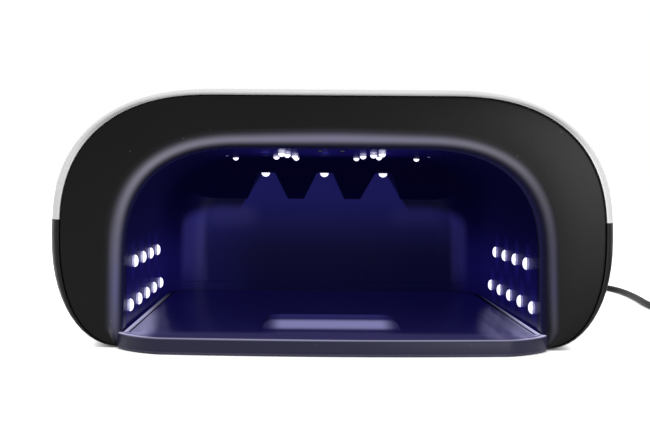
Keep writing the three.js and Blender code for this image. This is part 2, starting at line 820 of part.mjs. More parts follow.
function reflector() {
  const outer = mouthForm(bezelDepth + seatGap, linerWall, linerBottom).subtract(soffitWedge(linerWall));
  const inner = mouthForm(bezelDepth - overrun, 0, linerBottom - overrun).subtract(soffitWedge(0));
  const shell = joined([outer, ...chutes(linerWall, linerRear + linerWall)])
    .subtract(joined([inner, ...chutes(0, linerRear)]));
  const hole = beadRadius + beadHoleGap;
  const sideHoles = sideBeads().map(({ depth, z }) => rodAlongX(
    [-bodyWidth / 2, bodyWidth / 2], yAt(depth), z, hole, beadSides,
  ));
  const upward = (z) => [z - linerWall * 2, z + linerWall + overrun];
  const holesFor = (beads, z) => beads.map(({ x, depth }) => (
    post(x, yAt(depth), upward(z), hole, beadSides)
  ));
  const ceilingHoles = holesFor(ceilingBeads(), mouthTop);
  const rearHoles = holesFor(rearBeads(), chuteTop);
  const sensorHoles = [-sensorX, sensorX].map((x) => post(
    x, yAt(sensorDepth), upward(mouthTop), sensorRadius + beadHoleGap, beadSides,
  ));
  return cut(shell, [...sideHoles, ...ceilingHoles, ...rearHoles, ...sensorHoles]);
}

// A domed bead that stands on an upright axis, from its board at zero
function bead(radius, length, rooted) {
  const straight = length - radius;
  const half = radius * Math.SQRT1_2;
  return turned([[0, -rooted], [radius, -rooted], [radius, straight], [half, straight + half], [0, length]],
    beadSides);
}

function sideBoard(side) {
  const face = side * sideBoardX;
  const span = [face, face + side * boardThickness].sort((a, b) => a - b);
  const run = [yAt(sideBoardStart), yAt(sideBoardStart + sideBoardLength)];
  const plate = block(span, run, [linerBottom + seatGap, sideBoardTop]);
  const beads = sideBeads().map(({ depth, z }) => {
    const dome = bead(beadRadius, beadLength, boardThickness / 2).rotateY(-side * Math.PI / 2);
    return solid(dome.translate(face, yAt(depth), z));
  });
  return joined([plate, ...beads]);
}

function hangingBoard(halfWidth, run, z, beads) {
  const plate = block([-halfWidth, halfWidth], run, [z, z + boardThickness]);
  const domes = beads.map(({ x, depth }) => {
    const dome = bead(beadRadius, beadLength, boardThickness / 2).rotateX(Math.PI);
    return solid(dome.translate(x, yAt(depth), z));
  });
  return joined([plate, ...domes]);
}

function sensorDome(x) {
  const length = linerWall + sensorOut;
  const dome = bead(sensorRadius, length, 0).rotateX(Math.PI);
  return dome.translate(x, yAt(sensorDepth), ceilingBoardZ - seatGap);
}

// The tray's plan, inset from its edge: a bowed front, two front corners, straight sides, two rear corners
function trayPlan(inset) {
  const cornerX = noseHalfWidth - noseCorner;
  const cornerLength = trayNose - trayBow - noseEnd;
  const bowSteps = 3;
  const half = [];
  for (let i = 0; i < bowSteps; i += 1) {
    const share = (i + 1 / 2) / bowSteps;
    half.push([cornerX * share, -trayNose + inset + trayBow * share * share]);
  }
  const front = cornerArc(
    cornerX, noseEnd, noseCorner - inset, cornerLength - inset, noseCurveShare, planSteps,
  );
  half.push(...front.map(([x, depth]) => [x, -depth]).reverse());
  half.push([trayHalfWidth - inset, noseStep - noseEnd]);
  const rearRadius = linerCorner;
  half.push(...cornerArc(
    trayHalfWidth - rearRadius, trayRear - rearRadius, rearRadius - inset, rearRadius - inset, 2, planSteps,
  ));
  return mirrored(half);
}

function trayRing(inset, z) {
  return trayPlan(inset).map(([x, depth]) => [x, yAt(depth), z]);
}

function trayBase() {
  const rounded = trayEdgeShares.map((share) => {
    const drop = trayEdge * Math.sqrt(1 - (1 - share) ** 2);
    return trayRing(trayEdge * share, trayTop - trayEdge + drop);
  });
  const rings = [trayRing(trayBottomEdge, trayLift), trayRing(0, trayLift + trayBottomEdge), ...rounded];
  const body = solid(loft(rings, ([x, y]) => [x, y]));
  const pocketFloor = trayTop - panelThickness - seatGap;
  const plan = trayPlan(trayRim).map(([x, depth]) => [x, yAt(depth)]);
  const pocket = prism(plan, [pocketFloor, trayTop + overrun]);
  const feet = trayFootPlaces().map(({ x, y }) => post(
    x, y, [0, trayLift + footRecess], trayFootRadius + footGap,
  ));
  return cut(body, [pocket, ...feet, ...trayRailGrooves(), ...trayMagnetPockets()]);
}

function trayRailGrooves() {
  const depth = bayHalfWidth - railReach - railGap;
  const height = railThickness / 2 + railGap;
  return [-1, 1].map((side) => {
    const span = [side * depth, side * (trayHalfWidth + overrun)].sort((a, b) => a - b);
    const run = [yAt(railStart) - railGap, yAt(trayRear) + overrun];
    return block(span, run, [railZ - height, railZ + height]);
  });
}

function trayMagnetPockets() {
  const height = trayMagnetHeight / 2 + seatGap;
  return [-magnetX, magnetX].map((x) => block(
    [x - magnetLength / 2 - seatGap, x + magnetLength / 2 + seatGap],
    [yAt(trayRear - magnetDepth - seatGap), yAt(trayRear) + overrun],
    [railZ - height, railZ + height],
  ));
}

function trayFootPlaces() {
  const depths = [trayFootInset - trayNose, trayRear - trayFootInset];
  return depths.flatMap((depth) => [-trayFootX, trayFootX].map((x) => ({ x, y: yAt(depth) })));
}

// The finger rest is a low crowned pad with a squarish outline
function fingerRest() {
  const rings = restLevelShares.map(({ size, height }) => {
    const inset = restHalfDepth * (1 - size);
    const quarter = cornerArc(0, 0, restHalfWidth - inset, restHalfDepth - inset, restCurveShare, planSteps);
    const right = [...quarter.map(([x, y]) => [x, -y]).reverse().slice(1), ...quarter.slice(1)];
    const ring = mirrored(right.slice(0, -1));
    return ring.map(([x, y]) => [x, y + yAt(restDepth), trayTop - panelThickness / 2
      + (restRise + panelThickness / 2) * height]);
  });
  return solid(loft(rings, ([x, y]) => [x, y]));
}

function trayPanel() {
  const plan = trayPlan(trayRim + trayGroove).map(([x, depth]) => [x, yAt(depth)]);
  return prism(plan, [trayTop - panelThickness, trayTop]).add(fingerRest());
}

function screw(x, y, headBottom, headTop, end, headRadius, radius) {
  const head = post(x, y, [headBottom, headTop], headRadius);
  return head.add(post(x, y, [headTop - overrun / 2, end], radius, beadSides));
}

function housingScrew({ x, y }) {
  const headTop = wellHeight - wellEnd - seatGap;
  const end = wellHeight + screwBite;
  return screw(x, y, headTop - screwHeadHeight, headTop, end, screwHeadRadius, screwRadius);
}

function boardScrew({ x, y }) {
  const headTop = controlBottom - seatGap;
  const end = shellUnderside - boardScrewEnd - screwGap;
  return screw(x, y, headTop - boardScrewHead, headTop, end, boardScrewHeadRadius, boardScrewRadius);
}

function controlBoard() {
  const plate = block(
    [-controlHalfWidth, controlHalfWidth], [yAt(controlStart), yAt(controlEnd)], [controlBottom, controlTop],
  );
  const holes = controlPosts().map(({ x, y }) => post(
    x, y, [controlBottom - overrun, controlTop + overrun], boardScrewRadius + screwGap,
  ));
  return cut(plate, holes);
}

function tactSwitch(x) {
  const half = switchWidth / 2;
  const y = yAt(keyDepth);
  const bottom = controlTop + seatGap;
  const body = block([x - half, x + half], [y - half, y + half], [bottom, bottom + switchHeight]);
  return body.add(post(x, y, [bottom, bottom + switchHeight + plungerHeight], plungerRadius, beadSides));
}

function keycap(x) {
  const y = yAt(keyDepth);
  const flangeTop = shellUnderside - seatGap;
  const flangeBottom = flangeTop - keyFlangeThickness;
  const stemBottom = controlTop + seatGap + switchHeight + plungerHeight + keyTravel + pressGap;
  const inner = roundedRectangle(keyWidth - 2 * keyBevel, keyLength - 2 * keyBevel, keyCorner - keyBevel);
  const height = bodyHeight + keyProud - flangeBottom;
  const cap = new THREE.ExtrudeGeometry(shapeOf(inner), {
    depth: height - 2 * keyBevel, bevelThickness: keyBevel, bevelSize: keyBevel, bevelSegments: 2,
  });
  const flange = roundedRectangle(keyWidth + 2 * keyFlange, keyLength + 2 * keyFlange, keyCorner);
  return joined([
    solid(cap.translate(x, y, flangeBottom + keyBevel)),
    prism(moved(flange, x, y), [flangeBottom, flangeTop]),
    post(x, y, [stemBottom, flangeTop], keyStemRadius, beadSides),
  ]);
}

function displayWindow() {
  const outline = roundedRectangle(windowWidth, windowLength, windowCorner);
  const top = bodyHeight - windowSink;
  return prism(moved(outline, 0, yAt(displayDepth)), [top - windowThickness, top]);
}

function displayModule() {
  return block(
    [-displayWidth / 2, displayWidth / 2],
    [yAt(displayDepth) - displayLength / 2, yAt(displayDepth) + displayLength / 2],
    [controlTop + seatGap, shellUnderside - displayRoom],
  );
}

function dcJack() {
  const front = yAt(housingDepth - wall - seatGap);
  const mouth = yAt(housingDepth) - seatGap;
  const body = block(
    [jackX - jackWidth / 2, jackX + jackWidth / 2], [front - jackLength, front],
    [jackZ - jackHeight / 2, jackZ + jackHeight / 2],
  );
  const nose = rodAlongY(jackX, jackZ, [front - overrun, mouth], jackNoseRadius);
  const bore = rodAlongY(jackX, jackZ, [mouth - jackBoreDepth, mouth + overrun], jackBore);
  const pinRun = [mouth - jackBoreDepth - overrun, mouth - jackPinSink];
  return body.add(nose).subtract(bore).add(rodAlongY(jackX, jackZ, pinRun, jackPinRadius, beadSides));
}

// A turned piece laid along y, from its end at y towards the back
function laidBack(profile, x, y, z) {
  return turned(profile).rotateX(-Math.PI / 2).translate(x, y, z);
}

function plugBarrel() {
  const end = yAt(housingDepth) + seatGap / 2;
  const run = [end - plugBarrelLength, end];
  const tube = rodAlongY(jackX, jackZ, run, plugBarrelRadius);
  const through = [run[0] - overrun, run[1] + overrun];
  return tube.subtract(rodAlongY(jackX, jackZ, through, plugBarrelBore, beadSides));
}

const plugBootStart = yAt(housingDepth) + seatGap + seatGap / 2;
const plugBootLength = plugBodyLength + plugTaperLength;

function plugBoot() {
  const profile = [[0, 0], [plugBodyRadius, 0], [plugBodyRadius, plugBodyLength]];
  const ring = plugTaperLength / plugRingCount;
  for (let i = 0; i < plugRingCount; i += 1) {
    const radius = plugNeckRadius + (plugTipRadius - plugNeckRadius) * (i / plugRingCount);
    const start = plugBodyLength + i * ring;
    profile.push([radius - plugRingDepth, start], [radius - plugRingDepth, start + ring / 2]);
    profile.push([radius, start + ring / 2], [radius, start + ring]);
  }
  profile.push([0, plugBootLength]);
  return laidBack(profile, jackX, plugBootStart, jackZ);
}

function tubeAlong(points, radius, sides, steps) {
  const section = new THREE.Shape(Array.from({ length: sides }, (_, i) => {
    const turn = (2 * Math.PI * i) / sides;
    return new THREE.Vector2(radius * Math.cos(turn), radius * Math.sin(turn));
  }));
  const path = new THREE.CatmullRomCurve3(points.map((point) => new THREE.Vector3(...point)));
  return new THREE.ExtrudeGeometry(section, { steps, bevelEnabled: false, extrudePath: path });
}

// The lead's route from the plug, behind the lamp and forward past its right side, to the coil
function leadRoute() {
  const start = plugBootStart + plugBootLength + seatGap;
  return [
    [jackX, start, jackZ],
    [jackX, start + cordStraight, jackZ],
    [36.5, 152, 12],
    [42, 161, 7.6],
    [52, 168, 3.6],
    [66, 171.5, cordHeight],
    [84, 172, cordHeight],
    [104, 171, cordHeight],
    [124, 168.5, cordHeight],
    [142, 164, cordHeight],
    [156, 156.5, cordHeight],
    [165, 146, cordHeight],
    [169, 132, cordHeight],
    [169.8, 115, cordHeight],
    [168.8, 96, cordHeight],
    [166.9, 78, cordHeight],
    [165, 62, cordHeight],
    [164, 46, cordHeight],
    [165, 30, cordHeight],
    [167.4, 16, cordHeight],
    [coilStartX, coilY + straightEnd + seatGap + cordStraight, cordHeight],
    [coilStartX, coilY + straightEnd + seatGap, cordHeight],
  ];
}

// The coil's middle line: each layer spirals in or out, and climbs in the half turn where it reverses
function coilLine() {
  const turns = coilTurnsInLayer * coilLayers;
  const points = [[coilStartX, coilY + straightEnd, cordHeight]];
  const total = turns * coilSteps;
  for (let i = 0; i <= total; i += 1) {
    const turn = i / coilSteps;
    const layer = Math.min(coilLayers - 1, Math.floor(turn / coilTurnsInLayer));
    const within = turn - layer * coilTurnsInLayer;
    const inward = layer % 2 === 0 ? within : coilTurnsInLayer - within;
    const radius = coilOuterRadius - coilPitch * inward;
    const angle = Math.PI + 2 * Math.PI * turn;
    const x = coilX + radius * Math.cos(angle);
    points.push([x, coilY + radius * Math.sin(angle), cordHeight + coilPitch * climbAt(turn)]);
  }
  points.push([coilStartX, coilY - coilTail, coilTopHeight]);
  return points;
}

// How many layers the coil has climbed after so many turns
function climbAt(turn) {
  const climbTurns = 1 / 2;
  let climbed = 0;
  for (let layer = 1; layer < coilLayers; layer += 1) {
    const into = (turn - layer * coilTurnsInLayer) / climbTurns + 1 / 2;
    climbed += Math.min(1, Math.max(0, into));
  }
  return climbed;
}

function tubeOfRings(line, radius, sides) {
  const rings = line.map((point, i) => {
    const before = new THREE.Vector3(...line[Math.max(0, i - 1)]);
    const after = new THREE.Vector3(...line[Math.min(line.length - 1, i + 1)]);
    const ahead = after.sub(before).normalize();
    const sideways = new THREE.Vector3(ahead.y, -ahead.x, 0).normalize();
    const upward = sideways.clone().cross(ahead);
    return Array.from({ length: sides }, (_, k) => {
      const turn = (2 * Math.PI * (k + 1 / 2)) / sides;
      const place = new THREE.Vector3(...point);
      place.addScaledVector(sideways, radius * Math.cos(turn));
      return place.addScaledVector(upward, radius * Math.sin(turn)).toArray();
    });
  });
  return loft(rings, (point) => [point[0], point[2]]);
}

// The least gap of the coil to itself, measured on the points and the midpoints of its middle line
function leastGap(line) {
  const fine = line.flatMap((point, i) => {
    const next = line[Math.min(line.length - 1, i + 1)];
    return [point, point.map((value, k) => (value + next[k]) / 2)];
  });
  const apart = coilSteps;
  let least = Infinity;
  for (let i = 0; i < fine.length; i += 1) {
    for (let j = i + apart; j < fine.length; j += 1) {
      least = Math.min(least, Math.hypot(...fine[i].map((value, k) => value - fine[j][k])));
    }
  }
  return least - 2 * cordRadius;
}

const adapterBootStart = coilY - coilTail - seatGap;
const adapterCaseStart = adapterBootStart - adapterBootLength - seatGap;

function adapterBoot() {
  const tip = plugTipRadius;
  const profile = [[0, 0], [adapterBootRadius, 0], [tip, adapterBootLength], [0, adapterBootLength]];
  return laidBack(profile, coilStartX, adapterBootStart - adapterBootLength, coilTopHeight);
}

function adapterCase() {
  const outline = roundedRectangle(
    adapterWidth - 2 * adapterBevel, adapterHeight - 2 * adapterBevel, adapterCorner - adapterBevel,
  );
  const body = new THREE.ExtrudeGeometry(shapeOf(outline), {
    depth: adapterLength - 2 * adapterBevel, bevelThickness: adapterBevel, bevelSize: adapterBevel,
    bevelSegments: 2,
  });
  return body.rotateX(Math.PI / 2).translate(coilStartX, adapterCaseStart - adapterBevel, adapterHeight / 2);
}

function adapterBlade(side) {
  const end = adapterCaseStart - adapterLength - seatGap;
  const x = coilStartX + (side * bladeSpacing) / 2;
  return block(
    [x - bladeThickness / 2, x + bladeThickness / 2], [end - bladeLength, end],
    [adapterHeight / 2 - bladeWidth / 2, adapterHeight / 2 + bladeWidth / 2],
  );
}

// Wire leads inside, each as the points from one board to the next
function wireRoutes() {
  const under = controlBottom - seatGap;
  const overCeiling = ceilingBoardZ + boardThickness;
  const wireX = sideBoardX + boardThickness;
  const lane = (under + overCeiling) / 2;
  const jackBack = housingDepth - wall - seatGap - jackLength - seatGap;
  const behind = (linerRear + linerWall + jackBack) / 2;
  const down = under - wall;
  const powerY = yAt(controlEnd - 2 * wall);
  const topY = yAt(controlMiddle + keySpacing);
  const sideY = yAt(sideBoardStart + sideBoardLength - wireInset);
  const routes = {
    wire_power: [
      [jackX, yAt(jackBack), jackZ], [jackX, yAt(jackBack - wall), jackZ],
      [jackX, yAt(behind), mouthCornerZ], [jackX, yAt(behind), soffitLow],
      [jackX, yAt(behind), chuteTop], [jackX, yAt(linerRear - linerWall), lane],
      [jackX, yAt(controlEnd + wall), lane], [jackX - switchWidth, powerY, down],
      [jackX - switchWidth, powerY, under],
    ],
    wire_ceiling: [
      [0, yAt(controlMiddle), under], [wall / 2, yAt(controlMiddle), lane],
      [0, yAt(controlMiddle), overCeiling + seatGap],
    ],
    wire_rear: [
      [-displayLength, yAt(controlMiddle), under], [-displayLength, yAt(controlMiddle), down],
      [-displayLength, yAt(controlEnd + wall), lane],
      [-displayLength, yAt(chuteLampDepth - wall), lane],
      [-displayLength, yAt(chuteLampDepth), rearBoardZ + boardThickness + wall],
      [-displayLength, yAt(chuteLampDepth), rearBoardZ + boardThickness + seatGap],
    ],
  };
  [{ name: 'wire_left', side: -1 }, { name: 'wire_right', side: 1 }].forEach(({ name, side }) => {
    const away = side * (wireX + 2 * wall);
    const entry = (lowRowZ + highRowZ) / 2;
    routes[name] = [
      [side * keySpacing, topY, under], [side * keySpacing, topY, down],
      [side * ceilingBoardHalf, topY, lane], [side * (mouthHalfWidth - wall), sideY, mouthTop],
      [away, sideY, soffitLow], [away, sideY, mouthCornerZ], [side * (wireX + wall), sideY, entry],
      [side * (wireX + seatGap), sideY, entry],
    ];
  });
  return routes;
}

function addHousing() {
  const form = housingForm(0, 0, fineSteps);
  const room = housingForm(rimDepth, wall, hiddenSteps);
  addPiece('top_shell', topShell(form, room), 'shell');
  addPiece('base_housing', baseHousing(form, room), 'base');
  addPiece('front_bezel', frontBezel(), 'bezel');
  addPiece('reflector', reflector(), 'liner');
  screwPlaces().forEach((place) => addPiece(`housing_screw_${place.name}`, housingScrew(place), 'steel'));
}

function addLamps() {
  addPiece('left_lamp_board', sideBoard(-1), 'board');
  addPiece('right_lamp_board', sideBoard(1), 'board');
  const run = [yAt(ceilingBoardStart), yAt(ceilingBoardEnd)];
  const ceiling = hangingBoard(ceilingBoardHalf, run, ceilingBoardZ, ceilingBeads());
  addPiece('ceiling_lamp_board', ceiling, 'board');
  const rearRun = [yAt(chuteLampDepth - rearBoardHalfDepth), yAt(chuteLampDepth + rearBoardHalfDepth)];
  addPiece('rear_lamp_board', hangingBoard(rearBoardHalf, rearRun, rearBoardZ, rearBeads()), 'board');
  addPiece('sensor_emitter', sensorDome(-sensorX), 'window');
  addPiece('sensor_receiver', sensorDome(sensorX), 'window');
}

function addControls() {
  addPiece('control_board', controlBoard(), 'control');
  addPiece('display_module', displayModule(), 'part');
  addPiece('display_window', displayWindow(), 'window');
  keyPlaces().forEach((x, i) => addPiece(`tact_switch_${i + 1}`, tactSwitch(x), 'part'));
  keyPlaces().forEach((x, i) => addPiece(`keycap_${i + 1}`, keycap(x), 'key'));
  controlPosts().forEach((place, i) => addPiece(`board_screw_${i + 1}`, boardScrew(place), 'steel'));
}

function addTray() {
  addPiece('tray_base', trayBase(), 'tray');
  addPiece('tray_panel', trayPanel(), 'tray');
  [['left', -magnetX], ['right', magnetX]].forEach(([name, x]) => {
    const ends = [x - magnetLength / 2, x + magnetLength / 2];
    const trayRun = [yAt(trayRear - magnetDepth), yAt(trayRear)];
    const trayHeight = [railZ - trayMagnetHeight / 2, railZ + trayMagnetHeight / 2];
    addPiece(`tray_magnet_${name}`, block(ends, trayRun, trayHeight), 'magnet');
    const back = yAt(bayRear + guideWall + seatGap);
    const height = [floorTop + seatGap, floorTop + seatGap + housingMagnetHeight];
    addPiece(`housing_magnet_${name}`, block(ends, [back, back + magnetDepth], height), 'magnet');
  });
}

function addFeet() {
  const height = [0, footLift + footRecess - footGap];
  const cheek = cheekFeet(0, height);
  [['left', -1], ['right', 1]].forEach(([name, side], i) => {
    const rear = post(side * rearFootX, yAt(rearFootDepth), height, footRadius);
    addPiece(`rear_foot_${name}`, rear, 'rubber');
    addPiece(`cheek_foot_${name}`, cheek[i], 'rubber');
  });
  const trayHeight = [0, trayLift + footRecess - footGap];
  trayFootPlaces().forEach(({ x, y }, i) => {
    addPiece(`tray_foot_${i + 1}`, post(x, y, trayHeight, trayFootRadius), 'rubber');
  });
}

function addPower() {
  addPiece('dc_jack', dcJack(), 'part');
  Object.entries(wireRoutes()).forEach(([name, route]) => {
    addPiece(name, tubeAlong(route, wireRadius, coilSides, wireSteps * route.length), 'wire');
  });
  addPiece('plug_barrel', plugBarrel(), 'steel');
  addPiece('plug_boot', plugBoot(), 'lead');
  addPiece('cord_lead', tubeAlong(leadRoute(), cordRadius, beadSides, leadSteps), 'lead');
  const line = coilLine();
  console.log(`least gap of the coil to itself: ${leastGap(line).toFixed(2)} mm`);
  addPiece('cord_coil', tubeOfRings(line, cordRadius, coilSides), 'lead');
  addPiece('adapter_boot', adapterBoot(), 'lead');
  addPiece('adapter_case', adapterCase(), 'lead');
  addPiece('adapter_blade_left', adapterBlade(-1), 'steel');
  addPiece('adapter_blade_right', adapterBlade(1), 'steel');
}

addHousing();
addLamps();
addControls();
addTray();
addFeet();
addPower();

export default lamp;
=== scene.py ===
import math

import bmesh
import bpy
from mathutils import Matrix, Vector


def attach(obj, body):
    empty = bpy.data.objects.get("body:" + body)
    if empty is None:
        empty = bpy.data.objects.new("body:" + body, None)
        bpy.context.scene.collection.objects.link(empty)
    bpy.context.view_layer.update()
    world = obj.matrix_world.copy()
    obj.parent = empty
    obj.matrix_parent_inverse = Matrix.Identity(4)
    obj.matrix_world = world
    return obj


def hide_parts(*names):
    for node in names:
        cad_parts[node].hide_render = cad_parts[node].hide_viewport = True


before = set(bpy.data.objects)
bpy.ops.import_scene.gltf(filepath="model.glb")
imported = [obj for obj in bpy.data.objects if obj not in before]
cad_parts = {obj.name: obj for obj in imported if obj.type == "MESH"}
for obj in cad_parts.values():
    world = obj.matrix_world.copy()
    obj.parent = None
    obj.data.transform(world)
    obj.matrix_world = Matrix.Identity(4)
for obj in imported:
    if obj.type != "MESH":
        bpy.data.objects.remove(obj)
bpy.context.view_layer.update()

# Sizes are in millimetres, and depth is counted back from the bezel's face
mm = 0.001
frontY = -88.25
seatGap = 0.3
over = 1  # cutters run past what they cut by this much
far = 150  # past the housing on every side


def atDepth(depth):
    return frontY + depth


# Cosine and sine at even steps through a quarter turn
def quarter(steps):
    turns = [math.pi / 2 * i / steps for i in range(steps + 1)]
    return [(math.cos(turn), math.sin(turn)) for turn in turns]


def cornerArc(centre, reach, curve, steps):
    power = 2 / curve
    return [(centre[0] + reach[0] * abs(cosine) ** power, centre[1] + reach[1] * sine ** power)
            for cosine, sine in quarter(steps)]


def mirrored(half):
    return half + [(-x, z) for x, z in reversed(half)]


# The same stretch on either side, low end first
def span(side, inner, outer):
    return sorted((side * inner, side * outer))


def roundedBox(width, length, radius, steps=6):
    right = cornerArc((width / 2 - radius, length / 2 - radius), (radius, radius), 2, steps)
    return mirrored([(x, -y) for x, y in reversed(right)] + right)


def newObject(name, data):
    made = bpy.data.objects.new(name, data)
    bpy.context.collection.objects.link(made)
    return made


# Camera and stage

camera = {"place": (-12.4, -508.25, 64.3), "lens": 61.57, "shift": (0.0376, -0.0583), "roll": -0.4}


def placeCamera():
    data = bpy.data.cameras.new("studioCamera")
    data.lens = camera["lens"]
    data.sensor_width = 36
    data.shift_x, data.shift_y = camera["shift"]
    data.clip_start, data.clip_end = 0.01, 50
    eye = newObject("studioCamera", data)
    eye.location = Vector(camera["place"]) * mm
    eye.rotation_euler = (math.radians(90), math.radians(camera["roll"]), 0)
    bpy.context.scene.camera = eye
    bpy.context.scene.view_settings.view_transform = "Standard"


placeCamera()
print("camera is set")


# Small tools for meshes

def finish(bm, name, material, body="housing", replaced=(), slot=None, sharp=35, flip=False):
    bmesh.ops.remove_doubles(bm, verts=bm.verts, dist=0.0005)
    if not flip:
        bmesh.ops.recalc_face_normals(bm, faces=bm.faces)
    bmesh.ops.scale(bm, vec=(mm, mm, mm), verts=bm.verts)
    mesh = bpy.data.meshes.new(name)
    bm.to_mesh(mesh)
    bm.free()
    return place(mesh, name, material, body, replaced, slot, sharp)


def place(mesh, name, material, body="housing", replaced=(), slot=None, sharp=35):
    mesh.materials.clear()
    mesh.materials.append(material)
    mesh.shade_smooth()
    mesh.set_sharp_from_angle(angle=math.radians(sharp))
    piece = newObject(name, mesh)
    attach(piece, body)
    if replaced:
        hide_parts(*replaced)
    return piece


def startRing(bm, points):
    loop = [bm.verts.new(point) for point in points]
    for i, vert in enumerate(loop):
        bm.edges.new((loop[i - 1], vert))
    return loop


def growRing(bm, loop, points):
    edges = [bm.edges.get((loop[i - 1], vert)) for i, vert in enumerate(loop)]
    made = bmesh.ops.extrude_edge_only(bm, edges=edges)["geom"]
    fresh = {part for part in made if isinstance(part, bmesh.types.BMVert)}
    following = {}
    for vert in fresh:
        for edge in vert.link_edges:
            before = edge.other_vert(vert)
            if before not in fresh:
                following[before] = vert
    grown = [following[vert] for vert in loop]
    for vert, point in zip(grown, points):
        vert.co = point
    return grown


def loft(rings, bm=None):
    bm = bm or bmesh.new()
    loop = startRing(bm, rings[0])
    bm.faces.new(loop)
    for ring in rings[1:]:
        loop = growRing(bm, loop, ring)
    bm.faces.new(loop)
    bmesh.ops.recalc_face_normals(bm, faces=bm.faces)
    return bm


def upright(outline, low, high):
    return loft([[(x, y, z) for x, y in outline] for z in (low, high)])


def alongX(outline, left, right):
    return loft([[(x, y, z) for y, z in outline] for x in (left, right)])


def alongY(outline, front, back):
    return loft([[(x, y, z) for x, z in outline] for y in (front, back)])


def shifted(outline, dx, dy):
    return [(x + dx, y + dy) for x, y in outline]


# A turned form: points of radius and height about the upright axis, then turned and moved by a matrix
def turned(profile, matrix=Matrix(), steps=48, bm=None):
    bm = bm or bmesh.new()
    verts = [bm.verts.new((radius, 0, height)) for radius, height in profile]
    edges = [bm.edges.new(pair) for pair in zip(verts, verts[1:])]
    before = set(bm.verts) - set(verts)
    bmesh.ops.spin(bm, geom=verts + edges, cent=(0, 0, 0), axis=(0, 0, 1), angle=2 * math.pi,
                   steps=steps, use_merge=True)
    made = [vert for vert in bm.verts if vert not in before]
    bmesh.ops.remove_doubles(bm, verts=made, dist=0.0005)
    made = [vert for vert in bm.verts if vert not in before]
    bmesh.ops.transform(bm, matrix=matrix, verts=made)
    return bm


def solidFrom(bm, name="cutter"):
    mesh = bpy.data.meshes.new(name)
    bmesh.ops.recalc_face_normals(bm, faces=bm.faces)
    bm.to_mesh(mesh)
    bm.free()
    return newObject(name, mesh)


def combined(base, others, operation):
    for other in others:
        modifier = base.modifiers.new("combine", "BOOLEAN")
        modifier.object = other
        modifier.operation = operation
        modifier.solver = "EXACT"
    graph = bpy.context.evaluated_depsgraph_get()
    mesh = bpy.data.meshes.new_from_object(base.evaluated_get(graph))
    base.modifiers.clear()
    base.data = mesh
    for other in others:
        bpy.data.objects.remove(other)
    return base


def meshOf(solid):
    bm = bmesh.new()
    bm.from_mesh(solid.data)
    bpy.data.objects.remove(solid)
    return bm


def box(x, y, z):
    bm = bmesh.new()
    size = [high - low for low, high in (x, y, z)]
    middle = [(low + high) / 2 for low, high in (x, y, z)]
    bmesh.ops.create_cube(bm, size=1)
    bmesh.ops.scale(bm, vec=size, verts=bm.verts)
    bmesh.ops.translate(bm, vec=middle, verts=bm.verts)
    return bm


# Turns an upright form so that it points another way, and moves it there
def pointing(x, y, z, direction):
    turn = Vector((0, 0, 1)).rotation_difference(Vector(direction)).to_matrix().to_4x4()
    return Matrix.Translation((x, y, z)) @ turn


# Rings of a rounded block that stands up, one for each inset and height
def stacked(sizes, place, levels):
    width, length, corner = sizes
    rings = []
    for inset, z in levels:
        outline = roundedBox(width - 2 * inset, length - 2 * inset, corner - inset)
        rings.append([(u, v, z) for u, v in shifted(outline, *place)])
    return rings


def softened(bm, width, segments=2, angle=30):
    edges = [edge for edge in bm.edges if edge.is_manifold and edge.calc_face_angle() > math.radians(angle)]
    bmesh.ops.bevel(bm, geom=edges, offset=width, offset_type="OFFSET", affect="EDGES", segments=segments,
                    profile=0.5, material=-1, clamp_overlap=True)
    return bm


# Small tools for materials: a value is a number, a colour or the socket of another node

def fill(socket, value):
    if hasattr(value, "links"):
        socket.id_data.links.new(value, socket)
    else:
        socket.default_value = (*value, 1) if socket.type == "RGBA" else value


def addNode(tree, kind, **values):
    node = tree.nodes.new(kind)
    for name, value in values.items():
        if name in node.inputs:
            fill(node.inputs[name], value)
        else:
            setattr(node, name, value)
    return node


def addGroup(tree, group, **values):
    return addNode(tree, "ShaderNodeGroup", node_tree=group, **values).outputs


def treeOf(values):
    return next(value.id_data for value in values if hasattr(value, "links"))


def maths(operation, *values):
    node = addNode(treeOf(values), "ShaderNodeMath", operation=operation)
    for socket, value in zip(node.inputs, values):
        fill(socket, value)
    return node.outputs[0]


def total(*values):
    result = values[0]
    for value in values[1:]:
        result = maths("ADD", result, value)
    return result


def less(value, taken):
    return maths("SUBTRACT", value, taken)


def product(*values):
    result = values[0]
    for value in values[1:]:
        result = maths("MULTIPLY", result, value)
    return result


def distance(first, second):
    return maths("SQRT", total(product(first, first), product(second, second)))


def ranged(value, start, end, low=0, high=1, easing="LINEAR"):
    node = addNode(value.id_data, "ShaderNodeMapRange", interpolation_type=easing)
    for socket, given in zip(node.inputs, (value, start, end, low, high)):
        fill(socket, given)
    return node.outputs["Result"]


def eased(value, start, end):
    return ranged(value, start, end, easing="SMOOTHSTEP")


def mixColours(factor, first, second, blend="MIX"):
    node = addNode(treeOf((factor, first, second)), "ShaderNodeMix", data_type="RGBA", blend_type=blend)
    for i, value in ((0, factor), (6, first), (7, second)):
        fill(node.inputs[i], value)
    return node.outputs[2]


def tinted(colour, level):
    return mixColours(1.0, colour, level, "MULTIPLY")


def together(*colours):
    result = colours[0]
    for colour in colours[1:]:
        result = mixColours(1.0, result, colour, "ADD")
    return result


# Fades by the pairs that a dictionary holds under their names
def fader(pairs):
    return lambda value, name: eased(value, *pairs[name])


def placeOn(tree):
    return addNode(tree, "ShaderNodeTexCoord").outputs["Object"]


def placeAndFacing(tree):
    where = addNode(tree, "ShaderNodeTexCoord").outputs
    spot = addNode(tree, "ShaderNodeSeparateXYZ", Vector=where["Object"])
    facing = addNode(tree, "ShaderNodeSeparateXYZ", Vector=where["Normal"])
    return spot.outputs, facing.outputs


# Shader groups that several finishes share

